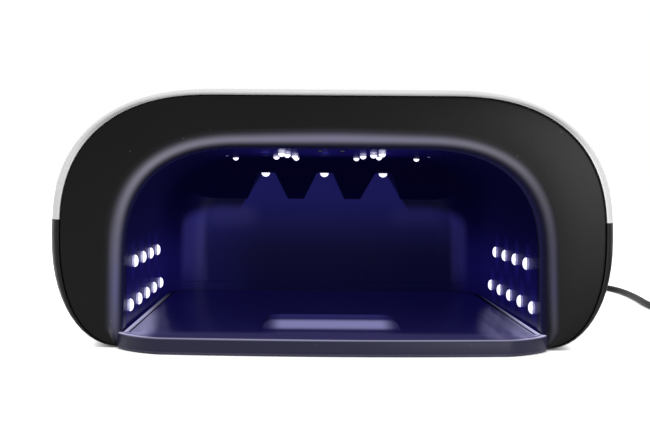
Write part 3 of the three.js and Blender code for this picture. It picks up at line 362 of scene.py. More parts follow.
def newGroup(name, values, results):
    group = bpy.data.node_groups.new(name, "ShaderNodeTree")
    for socket, value in values.items():
        made = group.interface.new_socket(socket, in_out="INPUT", socket_type="NodeSocketFloat")
        made.default_value = value
    for socket, kind in results.items():
        group.interface.new_socket(socket, in_out="OUTPUT", socket_type=kind)
    return group, addNode(group, "NodeGroupInput").outputs, addNode(group, "NodeGroupOutput").inputs


def buildGrain():
    results = {"Height": "NodeSocketFloat", "Tone": "NodeSocketFloat"}
    group, given, out = newGroup("mouldedGrain", {"Scale": 900.0}, results)
    place = placeOn(group)
    fine = addNode(group, "ShaderNodeTexNoise", Vector=place, Scale=given["Scale"], Detail=4)
    broad = addNode(group, "ShaderNodeTexNoise", Vector=place, Scale=24, Detail=3)
    fill(out["Height"], fine.outputs["Fac"])
    fill(out["Tone"], broad.outputs["Fac"])
    return group


def buildSpecks():
    group, given, out = newGroup("dustSpecks", {"Scale": 260.0, "Size": 0.06}, {"Mask": "NodeSocketFloat"})
    cells = addNode(group, "ShaderNodeTexVoronoi", Vector=placeOn(group), Scale=given["Scale"]).outputs
    colour = addNode(group, "ShaderNodeSeparateColor", Color=cells["Color"]).outputs
    near = maths("LESS_THAN", cells["Distance"], given["Size"])
    fill(out["Mask"], product(near, maths("GREATER_THAN", colour["Red"], 0.8)))
    return group


def buildWear():
    group, given, out = newGroup("edgeWear", {"Amount": 0.3}, {"Mask": "NodeSocketFloat"})
    edges = ranged(addNode(group, "ShaderNodeNewGeometry").outputs["Pointiness"], 0.54, 0.66)
    rub = addNode(group, "ShaderNodeTexNoise", Vector=placeOn(group), Scale=160)
    fill(out["Mask"], product(edges, rub.outputs["Fac"], given["Amount"]))
    return group


# Where the cover's upper front edge rolls in towards the bezel it is painted darker, as painted shade
rollFade = {"facing": (0.3, 0.95), "height": (0.07, 0.09), "front": (-0.08, -0.086)}


def buildRollShade():
    group, given, out = newGroup("rollShade", {"Amount": 0.5}, {"Shade": "NodeSocketFloat"})
    spot, facing = placeAndFacing(group)
    forward = product(facing["Y"], -1)
    fill(out["Shade"], product(eased(forward, *rollFade["facing"]), eased(spot["Z"], *rollFade["height"]),
                               eased(spot["Y"], *rollFade["front"]), given["Amount"]))
    return group


# The side walls' bead rows, low to high: depth of the first bead, height and count
beadRows = [(19, 14, 5), (30.7, 30.5, 4)]
beadSpacing = 23.5

# Violet light on the liner, in metres. A pair is where a part of it begins and where it is full, along a
# direction or by the way the surface faces, and a single value is a place or a strength.
cavityLight = {
    "rearFacing": (0.62, 0.95), "rearFrom": (0.032, 0.062), "right": (-0.05, 0.05),
    "rowsX": 0.079, "rowsZ": 0.021, "rowsReach": (0.024, 0.002), "rowsFrom": (-0.093, -0.06), "rows": 0.022,
    "haloReach": (0.0085, 0.0015), "haloHeight": 0.8, "haloEnd": (0.009, 0.006), "halo": 0.045,
    "sides": 0.0085, "lowFrom": (0.064, 0.014), "low": 0.021,
    "archFrom": 0.052, "arch": 12, "wingLean": 0.62, "wingOut": (0.0732, 0.0748), "wingUp": (0.0455, 0.0525),
    "wingDim": 0.8, "rear": 0.019, "highFrom": (0.022, 0.062), "high": 0.064, "leftFrom": (-0.03, -0.06),
    "left": 0.02, "armIn": (0.03, 0.042), "armOut": (0.065, 0.055), "armTop": (0.0525, 0.0465),
    "armLow": (0.035, 0.0445), "arm": 0.017, "armRight": 0.01,
    "bandShift": 0.19, "bandTurn": (0.12, 0.3), "bandEnd": (0.8, 0.62), "bandFrom": (0.047, 0.057),
    "bandTop": (0.053, 0.043), "bandLow": (0.002, 0.024), "band": 0.054, "bandRight": 0.012,
    "ceilingUp": (0.066, 0.0745), "ceilingIn": (0.058, 0.02), "ceilingFrom": (0.052, -0.038),
    "ceiling": 0.042, "spotPlaces": (-0.0275, -0.002, 0.0235), "spotWidth": (0.0019, 0.0011),
    "spotUp": (0.07, 0.0735), "spotFront": (-0.046, -0.042), "spotBack": (-0.026, -0.03), "spot": 0.11,
    "deep": (0.075, 0.055, 1.0), "violet": (0.095, 0.088, 1.0), "lilac": (0.22, 0.185, 1.0),
    "pale": (0.45, 0.41, 1.0),
}


def buildCavityGlow():
    group, _, out = newGroup("cavityGlow", {}, {"Color": "NodeSocketColor"})
    (x, y, z), facing = placeAndFacing(group)
    light = cavityLight
    fade = fader(light)
    across = maths("ABSOLUTE", x)
    sideways = maths("ABSOLUTE", facing["X"])
    right = fade(x, "right")
    rear = product(fade(product(facing["Y"], -1), "rearFacing"), fade(y, "rearFrom"))
    # on the side walls: along the two bead rows, round each bead, and low down
    toRows = distance(less(across, light["rowsX"]), less(z, light["rowsZ"]))
    near = product(fade(toRows, "rowsReach"), fade(y, "rowsFrom"), light["rows"])
    outside, inside = light["haloEnd"]
    for depth, height, count in beadRows:
        first = atDepth(depth) * mm
        last = first + (count - 1) * beadSpacing * mm
        along = maths("PINGPONG", less(y, first), beadSpacing / 2 * mm)
        away = distance(along, product(less(z, height * mm), light["haloHeight"]))
        near = total(near, product(fade(away, "haloReach"), eased(y, first - outside, first - inside),
                                   eased(y, last + outside, last + inside), light["halo"]))
    low = total(product(fade(z, "lowFrom"), light["low"]), light["sides"])
    sides = product(less(1.0, rear), total(near, low))
    # down the rear wall, dimmer in a wing at each side, with an arm of pale light under each outer chute
    outward = maths("MAXIMUM", less(across, light["archFrom"]), 0)
    raised = total(z, product(outward, outward, light["arch"]))
    beyond = total(across, product(z, light["wingLean"]))
    wing = product(fade(beyond, "wingOut"), fade(raised, "wingUp"), light["wingDim"])
    down = total(product(fade(z, "highFrom"), light["high"]), product(fade(x, "leftFrom"), light["left"]),
                 light["rear"])
    down = product(rear, down, less(1.0, wing))
    arm = product(rear, fade(across, "armIn"), fade(across, "armOut"), fade(raised, "armTop"),
                  fade(raised, "armLow"), less(light["arm"], product(right, light["armRight"])))
    # up the two rear corners
    turn = less(sideways, product(right, light["bandShift"]))
    band = product(fade(turn, "bandTurn"), fade(sideways, "bandEnd"), fade(y, "bandFrom"),
                   fade(raised, "bandTop"), fade(z, "bandLow"),
                   less(light["band"], product(right, light["bandRight"])))
    # on the ceiling, with three short spots near its front
    ceiling = product(fade(z, "ceilingUp"), fade(across, "ceilingIn"), fade(y, "ceilingFrom"),
                      light["ceiling"])
    spots = [fade(maths("ABSOLUTE", less(x, place)), "spotWidth") for place in light["spotPlaces"]]
    ceiling = total(ceiling, product(total(*spots), fade(z, "spotUp"), fade(y, "spotFront"),
                                     fade(y, "spotBack"), light["spot"]))
    fill(out["Color"], together(tinted(light["deep"], total(sides, ceiling)), tinted(light["violet"], down),
                                tinted(light["lilac"], band), tinted(light["pale"], arm)))
    return group


# Light on the tray, written in the same way: a violet field, and what the nearest beads throw on its front
# corners, an even strip at the left and a wider, streaky one at the right, broken into painted glints near
# its edge
trayLight = {
    "upward": (0.85, 0.98), "right": (-0.02, 0.02), "retreatFrom": -0.08, "retreat": 0.12,
    "retreatRight": 0.05, "streakScale": (260, 5, 1), "streakRange": (0.35, 0.65), "streakLow": 0.7,
    "streak": 0.6, "glintScale": 900.0, "glintRange": (0.5, 0.66), "glintEdge": (0.066, 0.078), "glint": 0.12,
    "farEdge": (0.054, 0.062), "far": 0.05, "nearEdge": (0.066, 0.079), "near": 0.2,
    "leftEdge": (0.0655, 0.0722), "left": 0.2, "above": (0.0035, 0.0055), "stripBack": (0.01, -0.045),
    "stripFront": (-0.108, -0.1), "strip": (1.0, 0.96, 1.5), "field": (0.0016, 0.0012, 0.021),
    "frontFrom": (-0.083, -0.094), "front": (0.02, 0.019, 0.034),
}


def buildTrayGlow():
    group, given, out = newGroup("trayGlow", {"Field": 1.0}, {"Color": "NodeSocketColor"})
    (x, y, z), facing = placeAndFacing(group)
    light = trayLight
    fade = fader(light)
    right = fade(x, "right")
    level = fade(facing["Z"], "upward")
    back = maths("MAXIMUM", less(y, light["retreatFrom"]), 0)
    retreat = product(back, total(product(right, light["retreatRight"]), light["retreat"]))
    toEdge = less(maths("ABSOLUTE", x), retreat)
    place = placeOn(group)
    stretch = addNode(group, "ShaderNodeMapping", Vector=place, Scale=light["streakScale"]).outputs["Vector"]
    streaks = addNode(group, "ShaderNodeTexNoise", Vector=stretch, Scale=1.0, Detail=2.0)
    streaky = total(product(fade(streaks.outputs["Fac"], "streakRange"), light["streak"]), light["streakLow"])
    # painted glints: noise that breaks up the right strip's painted light near the edge
    glintNoise = addNode(group, "ShaderNodeTexNoise", Vector=place, Scale=light["glintScale"], Detail=3.0)
    paintedGlints = product(fade(glintNoise.outputs["Fac"], "glintRange"), fade(toEdge, "glintEdge"), light["glint"])
    rising = total(product(fade(toEdge, "farEdge"), light["far"]),
                   product(fade(toEdge, "nearEdge"), light["near"]), paintedGlints)
    strip = total(product(less(1.0, right), fade(toEdge, "leftEdge"), light["left"]),
                  product(right, rising, streaky))
    strip = product(level, fade(z, "above"), fade(y, "stripBack"), fade(y, "stripFront"), strip)
    field = product(level, given["Field"])
    fill(out["Color"], together(tinted(light["field"], field),
                                tinted(light["front"], product(fade(y, "frontFrom"), field)),
                                tinted(light["strip"], strip)))
    return group


grainGroup = buildGrain()
specksGroup = buildSpecks()
wearGroup = buildWear()
rollShade = buildRollShade()
cavityGlow = buildCavityGlow()
trayGlow = buildTrayGlow()


# Finishes

dustGrey = (0.35, 0.35, 0.36)
# The colour of the painted shade on the cover's roll
rollShadeGrey = (0.05, 0.05, 0.052)


def scaled(colour, share):
    return tuple(min(1, value * share) for value in colour)


def newMaterial(name):
    material = bpy.data.materials.new(name)
    material.use_nodes = True
    return material, material.node_tree, material.node_tree.nodes["Principled BSDF"].inputs


# A colour that drifts a little, grain, rubbed edges and a few specks of dust. Light is added from the piece's
# own painted layer, and in the cavity or on the tray from a group, and painted shade can darken the cover's
# roll at the front.
def mould(name, colour, roughness=0.4, drift=0.12, grain=900, depth=0.03, wear=0.2, worn=None, dust=0.0,
          glow=None, field=0.0, shade=0.0, sockets=None):
    material, tree, shader = newMaterial(name)
    texture = addGroup(tree, grainGroup, Scale=grain)
    base = mixColours(texture["Tone"], scaled(colour, 1 - drift), scaled(colour, 1 + drift))
    worn = worn or tuple(min(1, value * 1.8 + 0.01) for value in colour)
    base = mixColours(addGroup(tree, wearGroup, Amount=wear)["Mask"], base, worn)
    if dust:
        specks = addGroup(tree, specksGroup, Scale=300, Size=0.07)["Mask"]
        base = mixColours(product(specks, dust), base, dustGrey)
    if shade:
        base = mixColours(addGroup(tree, rollShade, Amount=shade)["Shade"], base, rollShadeGrey)
    fill(shader["Base Color"], base)
    fill(shader["Roughness"], ranged(texture["Tone"], 0, 1, roughness * 0.85, min(1, roughness * 1.15)))
    bump = addNode(tree, "ShaderNodeBump", Strength=depth, Distance=0.0004, Height=texture["Height"])
    fill(shader["Normal"], bump.outputs["Normal"])
    if glow:
        if glow == "cavity":
            light = addGroup(tree, cavityGlow)["Color"]
        else:
            light = addNode(tree, "ShaderNodeAttribute", attribute_name="glow").outputs["Color"]
        if glow == "tray":
            light = together(light, addGroup(tree, trayGlow, Field=field)["Color"])
        fill(shader["Emission Color"], light)
        fill(shader["Emission Strength"], 1)
    for socket, value in (sockets or {}).items():
        fill(shader[socket], value)
    return material


# A lit finish: the camera sees its colour with a darker rim, and other pieces get a share of the rim's light.
# A tipped one is bright only where the painted layer says.
def glowing(name, colour, strength, rim, spill=1, tipped=False):
    material, tree, shader = newMaterial(name)
    facing = addNode(tree, "ShaderNodeLayerWeight", Blend=0.35).outputs["Facing"]
    tone = addGroup(tree, grainGroup, Scale=400)["Tone"]
    shown = mixColours(facing, mixColours(tone, colour, scaled(colour, 0.92)), rim)
    if tipped:
        tip = addNode(tree, "ShaderNodeAttribute", attribute_name="glow").outputs["Fac"]
        shown = mixColours(tip, scaled(rim, 0.16), shown)
    seen = addNode(tree, "ShaderNodeLightPath").outputs["Is Camera Ray"]
    fill(shader["Emission Color"], mixColours(seen, scaled(rim, spill), shown))
    fill(shader["Emission Strength"], strength)
    fill(shader["Base Color"], (0.8, 0.8, 0.85))
    fill(shader["Roughness"], 0.2)
    return material


whiteShell = mould("whiteShell", (0.66, 0.66, 0.67), 0.32, drift=0.03, grain=1400, depth=0.03, wear=0.1,
                   worn=(0.8, 0.8, 0.8), shade=0.6)
blackShell = mould("blackShell", (0.012, 0.012, 0.013), 0.42, grain=1600, depth=0.1, wear=0.25, dust=0.12,
                   sockets={"Specular IOR Level": 0.09})
bezelBlack = mould("bezelBlack", (0.006, 0.006, 0.0063), 0.27, drift=0.1, grain=1700, depth=0.08, wear=0.2,
                   dust=0.2, glow="lip", sockets={"Specular IOR Level": 0.08})
linerBlack = mould("linerBlack", (0.002, 0.0017, 0.011), 0.28, drift=0.2, grain=60, depth=0.02, wear=0.0,
                   glow="cavity", sockets={"Specular IOR Level": 0.03})
trayBlack = mould("trayBlack", (0.017, 0.016, 0.042), 0.34, grain=1500, depth=0.05, wear=0.3,
                  worn=(0.12, 0.11, 0.2), dust=0.1, glow="tray", sockets={"Specular IOR Level": 0.16})
panelBlack = mould("panelBlack", (0.012, 0.010, 0.06), 0.3, grain=1500, depth=0.03, wear=0.1, dust=0.1,
                   glow="tray", field=1.0, sockets={"Specular IOR Level": 0.3})
boardWhite = mould("boardWhite", (0.75, 0.77, 0.74), 0.5, drift=0.05, wear=0.05)
boardGreen = mould("boardGreen", (0.01, 0.09, 0.035), 0.4, drift=0.2, grain=700, wear=0.1,
                   worn=(0.5, 0.4, 0.15))
darkPart = mould("darkPart", (0.012, 0.012, 0.014), 0.4, grain=1800, depth=0.08)
keyGrey = mould("keyGrey", (0.30, 0.30, 0.32), 0.42, drift=0.05, grain=2000, depth=0.08, wear=0.3)
markDark = mould("markDark", (0.02, 0.02, 0.022), 0.5, wear=0)
paneBlack = mould("paneBlack", (0.006, 0.006, 0.008), 0.06, grain=30, depth=0.01, wear=0.0)
steel = mould("steel", (0.55, 0.56, 0.58), 0.28, drift=0.1, grain=500, depth=0.03, wear=0.2,
              sockets={"Metallic": 1})
nickel = mould("nickel", (0.62, 0.61, 0.58), 0.22, drift=0.08, grain=900, depth=0.02, wear=0.2,
               sockets={"Metallic": 1})
rubber = mould("rubber", (0.02, 0.02, 0.021), 0.8, drift=0.2, grain=1300, depth=0.2, wear=0.3)
cordJacket = mould("cordJacket", (0.004, 0.004, 0.0045), 0.42, drift=0.15, grain=1500, depth=0.08, wear=0.0,
                   sockets={"Specular IOR Level": 0.05})
adapterBlack = mould("adapterBlack", (0.016, 0.016, 0.017), 0.5, grain=1100, depth=0.2, wear=0.3, dust=0.15)
wireRed = mould("wireRed", (0.35, 0.02, 0.02), 0.4, grain=900)
beadLight = glowing("beadLight", (1.0, 0.98, 1.0), 2.2, (0.3, 0.28, 0.62), 0.38, tipped=True)
digitLight = glowing("digitLight", (0.75, 0.85, 1.0), 2.5, (0.3, 0.4, 1.0))
print("finishes are made")


# The lead: out of the plug, behind the lamp and forward past its right side to a coil and the adapter

cord = {"radius": 1.6, "lift": 0.15, "start": 140.5, "straight": 4.5, "x": 35, "z": 13.5}
coil = {"x": 190, "y": 0, "pitch": 3.8, "meanRadius": 18, "turnsInLayer": 2, "layers": 4, "tail": 11,
        "steps": 24, "join": 3.2, "buried": 27, "climb": 0.5}
coil["outer"] = coil["meanRadius"] + coil["pitch"] * coil["turnsInLayer"] / 2
coil["startX"] = coil["x"] - coil["outer"]
cord["low"] = cord["radius"] + cord["lift"]
coil["top"] = cord["low"] + coil["pitch"] * (coil["layers"] - 1)


def leadRoute():
    start, low = cord["start"], cord["low"]
    meet = coil["y"] + coil["join"] + seatGap
    return [
        (cord["x"], start, cord["z"]), (cord["x"], start + cord["straight"], cord["z"]),
        (36.5, 152, 12), (42, 161, 7.6), (52, 168, 3.6), (66, 171.5, low), (84, 172, low),
        (104, 171, low), (124, 168.5, low), (142, 164, low), (156, 156.5, low), (165, 146, low),
        (169, 132, low), (169.8, 115, low), (168.8, 96, low), (166.9, 78, low), (165, 62, low),
        (164, 46, low), (165, 30, low), (167.4, 16, low),
        (coil["startX"], meet + cord["straight"], low), (coil["startX"], meet, low),
    ]


def climbAt(turn):
    climbed = 0
    for layer in range(1, coil["layers"]):
        climbed += min(1, max(0, (turn - layer * coil["turnsInLayer"]) / coil["climb"] + 0.5))
    return climbed


def coilRoute():
    points = []
    inLayer = coil["turnsInLayer"]
    for i in range(coil["steps"] * inLayer * coil["layers"] + 1):
        turn = i / coil["steps"]
        layer = min(coil["layers"] - 1, int(turn / inLayer))
        within = turn - layer * inLayer
        inward = within if layer % 2 == 0 else inLayer - within
        radius = coil["outer"] - coil["pitch"] * inward
        angle = math.pi + 2 * math.pi * turn
        points.append((coil["x"] + radius * math.cos(angle), coil["y"] + radius * math.sin(angle),
                       cord["low"] + coil["pitch"] * climbAt(turn)))
    points.append((coil["startX"], coil["y"] - coil["tail"], coil["top"]))
    points.append((coil["startX"], coil["y"] - coil["tail"] - coil["buried"], coil["top"]))
    return points


def makeCord():
    route = [Vector(point) * mm for point in leadRoute() + coilRoute()]
    data = bpy.data.curves.new("leadCord", "CURVE")
    data.dimensions = "3D"
    data.bevel_depth = cord["radius"] * mm
    data.bevel_resolution = 5
    data.resolution_u = 6
    data.use_fill_caps = True
    spline = data.splines.new("BEZIER")
    spline.bezier_points.add(len(route) - 1)
    for point, bead in zip(route, spline.bezier_points):
        bead.co = point
        bead.handle_left_type = bead.handle_right_type = "AUTO"
    data.materials.append(cordJacket)
    piece = newObject("leadCord", data)
    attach(piece, "housing")
    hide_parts("cord_lead", "cord_coil")
    return piece


leadCord = makeCord()
print("cord is laid")


# Plug and adapter, on the lead's ends

plug = {"start": 108.2, "body": 4.7, "bodyLength": 15, "neck": 3.1, "tip": 2.1, "taper": 17, "ribs": 3,
        "ribDepth": 0.45, "edge": 0.8}
adapter = {"x": 168.2, "start": -25.6, "width": 44, "length": 66, "height": 30, "corner": 6, "bevel": 2.5,
           "bevelSteps": 6, "grooveShare": 0.7, "grooveHalf": 0.35, "grooveFloor": 0.2, "grooveDepth": 0.4,
           "boot": 3.4, "bootTip": 2.1, "bootLength": 14, "bootStart": -11.3, "ribs": 4, "ribPitch": 10 / 3}


def makePlugBoot():
    edge = plug["edge"]
    body, length = plug["body"], plug["bodyLength"]
    profile = [(0, 0), (body - edge, 0), (body - edge * 0.3, edge * 0.3), (body, edge)]
    profile += [(body, length - edge), (body - edge * 0.3, length - edge * 0.3), (body - edge, length)]
    rib = plug["taper"] / plug["ribs"]
    for i in range(plug["ribs"]):
        radius = plug["neck"] + (plug["tip"] - plug["neck"]) * i / plug["ribs"]
        start = length + i * rib
        low = radius - plug["ribDepth"]
        profile += [(low, start + 0.1), (low, start + rib / 2 - 0.2), (radius - 0.15, start + rib / 2),
                    (radius, start + rib / 2 + 0.2), (radius, start + rib - 0.25),
                    (radius - 0.15, start + rib)]
    profile.append((0, length + plug["taper"]))
    turn = pointing(cord["x"], plug["start"], cord["z"], (0, 1, 0))
    return finish(turned(profile, turn), "plugGrip", rubber, replaced=["plug_boot"], slot="lead_jacket")


def adapterRing(y, inset):
    width, height = adapter["width"], adapter["height"]
    outline = roundedBox(width - 2 * inset, height - 2 * inset, adapter["corner"] - inset)
    return [(u + adapter["x"], y, v + height / 2) for u, v in outline]


def makeAdapterCase():
    start, bevel = adapter["start"], adapter["bevel"]
    end = start - adapter["length"]
    rounded = [adapterRing(start - bevel * (1 - cosine), bevel * (1 - sine))
               for cosine, sine in quarter(adapter["bevelSteps"])]
    rings = list(rounded)
    groove = start - adapter["length"] * adapter["grooveShare"]
    wide, narrow, deep = adapter["grooveHalf"], adapter["grooveFloor"], adapter["grooveDepth"]
    for away, inset in ((wide, 0), (narrow, deep), (-narrow, deep), (-wide, 0)):
        rings.append(adapterRing(groove + away, inset))
    rings += [[(u, start + end - v, w) for u, v, w in ring] for ring in reversed(rounded)]
    return finish(loft(rings), "adapterBody", adapterBlack, replaced=["adapter_case"], slot="adapter")


def makeAdapterBoot():
    wide, tip, length = adapter["boot"], adapter["bootTip"], adapter["bootLength"]
    profile = [(0, 0), (wide, 0)]
    for i in range(adapter["ribs"]):
        radius = wide + (tip - wide) * (i + 0.5) / adapter["ribs"]
        low = adapter["ribPitch"] * (i + 0.35)
        profile += [(radius, low), (radius - 0.35, low + 0.3), (radius - 0.35, low + 1.1)]
        profile.append((radius - 0.1, low + 1.4))
    profile += [(tip, length - 0.4), (tip - 0.3, length), (0, length)]
    turn = pointing(adapter["x"], adapter["bootStart"] - length, coil["top"], (0, 1, 0))
    return finish(turned(profile, turn), "adapterGrip", rubber, replaced=["adapter_boot"], slot="lead_jacket")


plugGrip = makePlugBoot()
adapterPieces = [makeAdapterCase(), makeAdapterBoot()]
print("plug and adapter are made")


# The housing's two shells

housing = {"halfWidth": 104.1, "top": 96.3, "swellOut": 7.4, "swellUp": 4.7, "swellDepth": 50,
           "riseDepth": 70, "depth": 196, "planRadius": 45, "topRadius": 35, "foot": 0.5,
           "upperCorner": (45, 44), "upperCurve": 2.4, "lowerCorner": 42, "lowerCurve": 2.25, "wall": 2.4,
           "rim": 0.4, "pocket": 12.3, "seam": 48.1, "height": 101}
mouth = {"halfWidth": 80, "top": 75.8, "corner": (33, 34), "curve": 2.5}


def swell(depth, reach):
    left = max(0, 1 - depth / reach)
    return math.sqrt(1 - left * left)


def rollIn(depth, radius, inset, rear):
    into = max(0, depth - (rear - radius))
    inner = radius - inset
    return inner - math.sqrt(max(0, inner * inner - into * into))


def outlineRing(y, side, half, top, inset, steps=(14, 26)):
    low = side - mouth["halfWidth"]
    centre = housing["lowerCorner"]
    lower = cornerArc((half - low, centre), (low, housing["foot"] + inset - centre), housing["lowerCurve"],
                      steps[0])
    cornerX, cornerZ = housing["upperCorner"]
    upper = cornerArc((cornerX, cornerZ), (half - cornerX, top - cornerZ), housing["upperCurve"], steps[1])
    return [(x, y, z) for x, z in mirrored(lower[::-1] + upper)]


def housingRing(depth, inset):
    side = housing["halfWidth"] + housing["swellOut"] * swell(depth, housing["swellDepth"]) - inset
    half = side - rollIn(depth, housing["planRadius"], inset, housing["depth"])
    top = housing["top"] + housing["swellUp"] * swell(depth, housing["riseDepth"]) - inset
    top -= rollIn(depth, housing["topRadius"], inset, housing["depth"])
    return outlineRing(atDepth(depth), side, half, top, inset)


def frontRing(y, inset):
    half = housing["halfWidth"] - inset
    return outlineRing(y, half, half, housing["top"] - inset, inset)


def shellDepths(inset):
    depths = [housing["swellDepth"] * (1 - cosine) for cosine, sine in quarter(12)]
    depths += [housing["riseDepth"], 100, 130]
    radius = housing["planRadius"]
    start = housing["depth"] - radius
    return depths + [start + (radius - inset) * sine for cosine, sine in quarter(14)]


def thickShell():
    rings = [housingRing(depth, 0) for depth in reversed(shellDepths(0))]
    rings.append(frontRing(frontY, housing["rim"]))
    rings.append(frontRing(atDepth(housing["pocket"]), housing["rim"]))
    inner = [depth for depth in shellDepths(housing["wall"]) if depth > housing["pocket"] + 2]
    rings.append(housingRing(housing["pocket"] + 0.01, housing["wall"]))
    rings += [housingRing(depth, housing["wall"]) for depth in inner]
    return solidFrom(loft(rings), "shell")


keys = {"depth": 84, "xs": (-31.5, -10.5, 10.5, 31.5), "width": 14, "length": 9, "corner": 2.4, "gap": 0.4,
        "proud": 0.9, "bottom": 93.5, "marks": ("10", "30", "60", "99"), "markSize": 4.6,
        "edge": ((0, 0.8), (0.06, 0.5), (0.22, 0.22), (0.5, 0.06), (0.8, 0))}
pane = {"depth": 106, "width": 32, "length": 15, "corner": 2, "thickness": 1.6, "sink": 0.1, "ledge": 1.5}
through = 8  # the top's cuts start this far below it


def makeUpperCover():
    shell = thickShell()
    top = housing["height"]
    cutters = [solidFrom(box((-far, far), (-far, far), (-far, housing["seam"] + seatGap / 2)))]
    hole = roundedBox(keys["width"] + 2 * keys["gap"], keys["length"] + 2 * keys["gap"],
                      keys["corner"] + keys["gap"])
    for x in keys["xs"]:
        place = shifted(hole, x, atDepth(keys["depth"]))
        cutters.append(solidFrom(upright(place, top - through, top + over)))
    seat = roundedBox(pane["width"] + 2 * seatGap, pane["length"] + 2 * seatGap, pane["corner"] + seatGap)
    seatZ = top - pane["sink"] - pane["thickness"] - seatGap
    ledge = 2 * pane["ledge"]
    sight = roundedBox(pane["width"] - ledge, pane["length"] - ledge, pane["corner"])
    y = atDepth(pane["depth"])
    cutters.append(solidFrom(upright(shifted(seat, 0, y), seatZ, top + over)))
    cutters.append(solidFrom(upright(shifted(sight, 0, y), top - through, seatZ + over / 2)))
    cover = combined(shell, cutters, "DIFFERENCE")
    return finish(meshOf(cover), "upperCover", whiteShell, replaced=["top_shell"], slot="white_shell")


bay = {"halfWidth": 80.5, "rear": 164.3, "corner": 22, "wall": 2, "low": 1, "top": 10}


def bayPlan(front, outset):
    radius = bay["corner"] + outset
    half = bay["halfWidth"] + outset
    corner = cornerArc((half - radius, atDepth(bay["rear"] + outset) - radius), (radius, radius), 2, 16)
    return mirrored([(half, atDepth(front))] + corner)


wells = {"places": [(-94.1, 40), (94.1, 40), (-72.1, 178), (72.1, 178)], "radius": 4.5, "bore": 3.3,
         "bottom": 0.6, "top": 40, "boreTop": 37}
vents = {"count": 9, "spacing": 7, "width": 2.4, "low": 20, "high": 38, "end": 8, "through": 6}
jack = {"hole": 4.3, "depth": 6}
rail = {"z": 2.55, "thickness": 0.9, "reach": 1.6, "start": 20, "end": 150, "edge": 0.2}
# A rear foot's place and radius, a cheek's foot's inner side, depth, width and length, and the tray's feet
feet = {"rear": (50.1, 181, 6), "cheek": (81.1, 28, 2, 16), "recess": 0.9, "gap": 0.3, "trayX": 62,
        "trayDepths": (4.5, 140), "trayRadius": 5, "trayRecess": 1.5}


def pin(x, y, z, direction, radius, length, steps=24):
    return turned([(0, 0), (radius, 0), (radius, length), (0, length)], pointing(x, y, z, direction), steps)


def post(x, y, radius, low, high, bm=None):
    return turned([(0, low), (radius, low), (radius, high), (0, high)], Matrix.Translation((x, y, 0)), bm=bm)


def footPockets():
    x, depth, radius = feet["rear"]
    inner, middle, width, length = feet["cheek"]
    high = housing["foot"] + feet["recess"]
    gap = feet["gap"]
    run = (atDepth(middle - length / 2) - gap, atDepth(middle + length / 2) + gap)
    cutters = []
    for side in (-1, 1):
        cutters.append(solidFrom(post(side * x, atDepth(depth), radius + gap, -over, high)))
        cutters.append(solidFrom(box(span(side, inner - gap, inner + width + gap), run, (-over, high))))
    return cutters


def makeLowerCover():
    shell = thickShell()
    front = housing["pocket"]
    upper = solidFrom(box((-far, far), (-far, far), (housing["seam"] - seatGap / 2, far)))
    shell = combined(shell, [upper], "DIFFERENCE")
    guide = solidFrom(upright(bayPlan(front, bay["wall"]), housing["foot"], bay["top"]))
    posts = bmesh.new()
    for x, depth in wells["places"]:
        post(x, atDepth(depth), wells["radius"], wells["bottom"], wells["top"], posts)
    skin = housing["wall"] / 4
    inside = [housingRing(depth, skin) for depth in reversed(shellDepths(skin))]
    posts = combined(solidFrom(posts, "posts"), [solidFrom(loft(inside), "inside")], "INTERSECT")
    shell = combined(shell, [guide, posts], "UNION")
    cutters = [solidFrom(upright(bayPlan(-over, 0), -over, bay["top"] + over))]
    for x, depth in wells["places"]:
        cutters.append(solidFrom(post(x, atDepth(depth), wells["bore"], -over, wells["boreTop"])))
    back = atDepth(housing["depth"])
    for i in range(vents["count"]):
        x = vents["end"] - i * vents["spacing"]
        slotShape = roundedBox(vents["width"], vents["high"] - vents["low"], vents["width"] / 2 - 0.05, 4)
        middle = (vents["low"] + vents["high"]) / 2
        cutters.append(solidFrom(alongY(shifted(slotShape, x, middle), back - vents["through"], back + over)))
    cutters.append(solidFrom(pin(cord["x"], back - jack["depth"], cord["z"], (0, 1, 0), jack["hole"],
                                 jack["depth"] + over, 48)))
    cutters += footPockets()
    shell = combined(shell, cutters, "DIFFERENCE")
    bm = meshOf(shell)
    half = bay["halfWidth"]
    run = (atDepth(rail["start"]), atDepth(rail["end"]))
    height = (rail["z"] - rail["thickness"] / 2, rail["z"] + rail["thickness"] / 2)
    for side in (-1, 1):
        addTo(bm, softened(box(span(side, half - rail["reach"], half + over), run, height), rail["edge"]))
    piece = finish(bm, "lowerCover", blackShell, replaced=["base_housing"], slot="dark_base")
    lineGuides(piece.data)
    return piece


# The low guide walls round the tray's bay have the liner's gloss and its painted violet light
def lineGuides(mesh):
    mesh.materials.append(linerBlack)
    slack = 0.1
    reach = bay["wall"] + slack
    for face in mesh.polygons:
        spot = face.center / mm
        beside = abs(spot.x) < bay["halfWidth"] + reach
        along = housing["pocket"] < spot.y - frontY < bay["rear"] + reach
        if beside and along and bay["low"] < spot.z < bay["top"] + slack:
            face.material_index = 1


def paintGlow(piece, colourAt):
    layer = piece.data.color_attributes.new("glow", "FLOAT_COLOR", "POINT")
    for vert, entry in zip(piece.data.vertices, layer.data):
        entry.color = (*colourAt(vert.co / mm, vert.normal), 1)


def addTo(bm, other):
    mesh = bpy.data.meshes.new("part")
    other.to_mesh(mesh)
    other.free()
    bm.from_mesh(mesh)
    bpy.data.meshes.remove(mesh)
    return bm


upperCover = makeUpperCover()
lowerCover = makeLowerCover()
print("shells are made")


# The bezel, swept round the mouth on rays from the middle of the underside

bezel = {"inset": 0.55, "lip": 6.5, "lipShare": 0.45, "depth": 12, "wall": 1.8, "wallShare": 0.22,
         "edge": 1.1, "edgeSteps": 4, "land": 1.5, "landShare": 0.1, "legTrim": 0.25, "rays": 260,
         "lipSteps": 18}


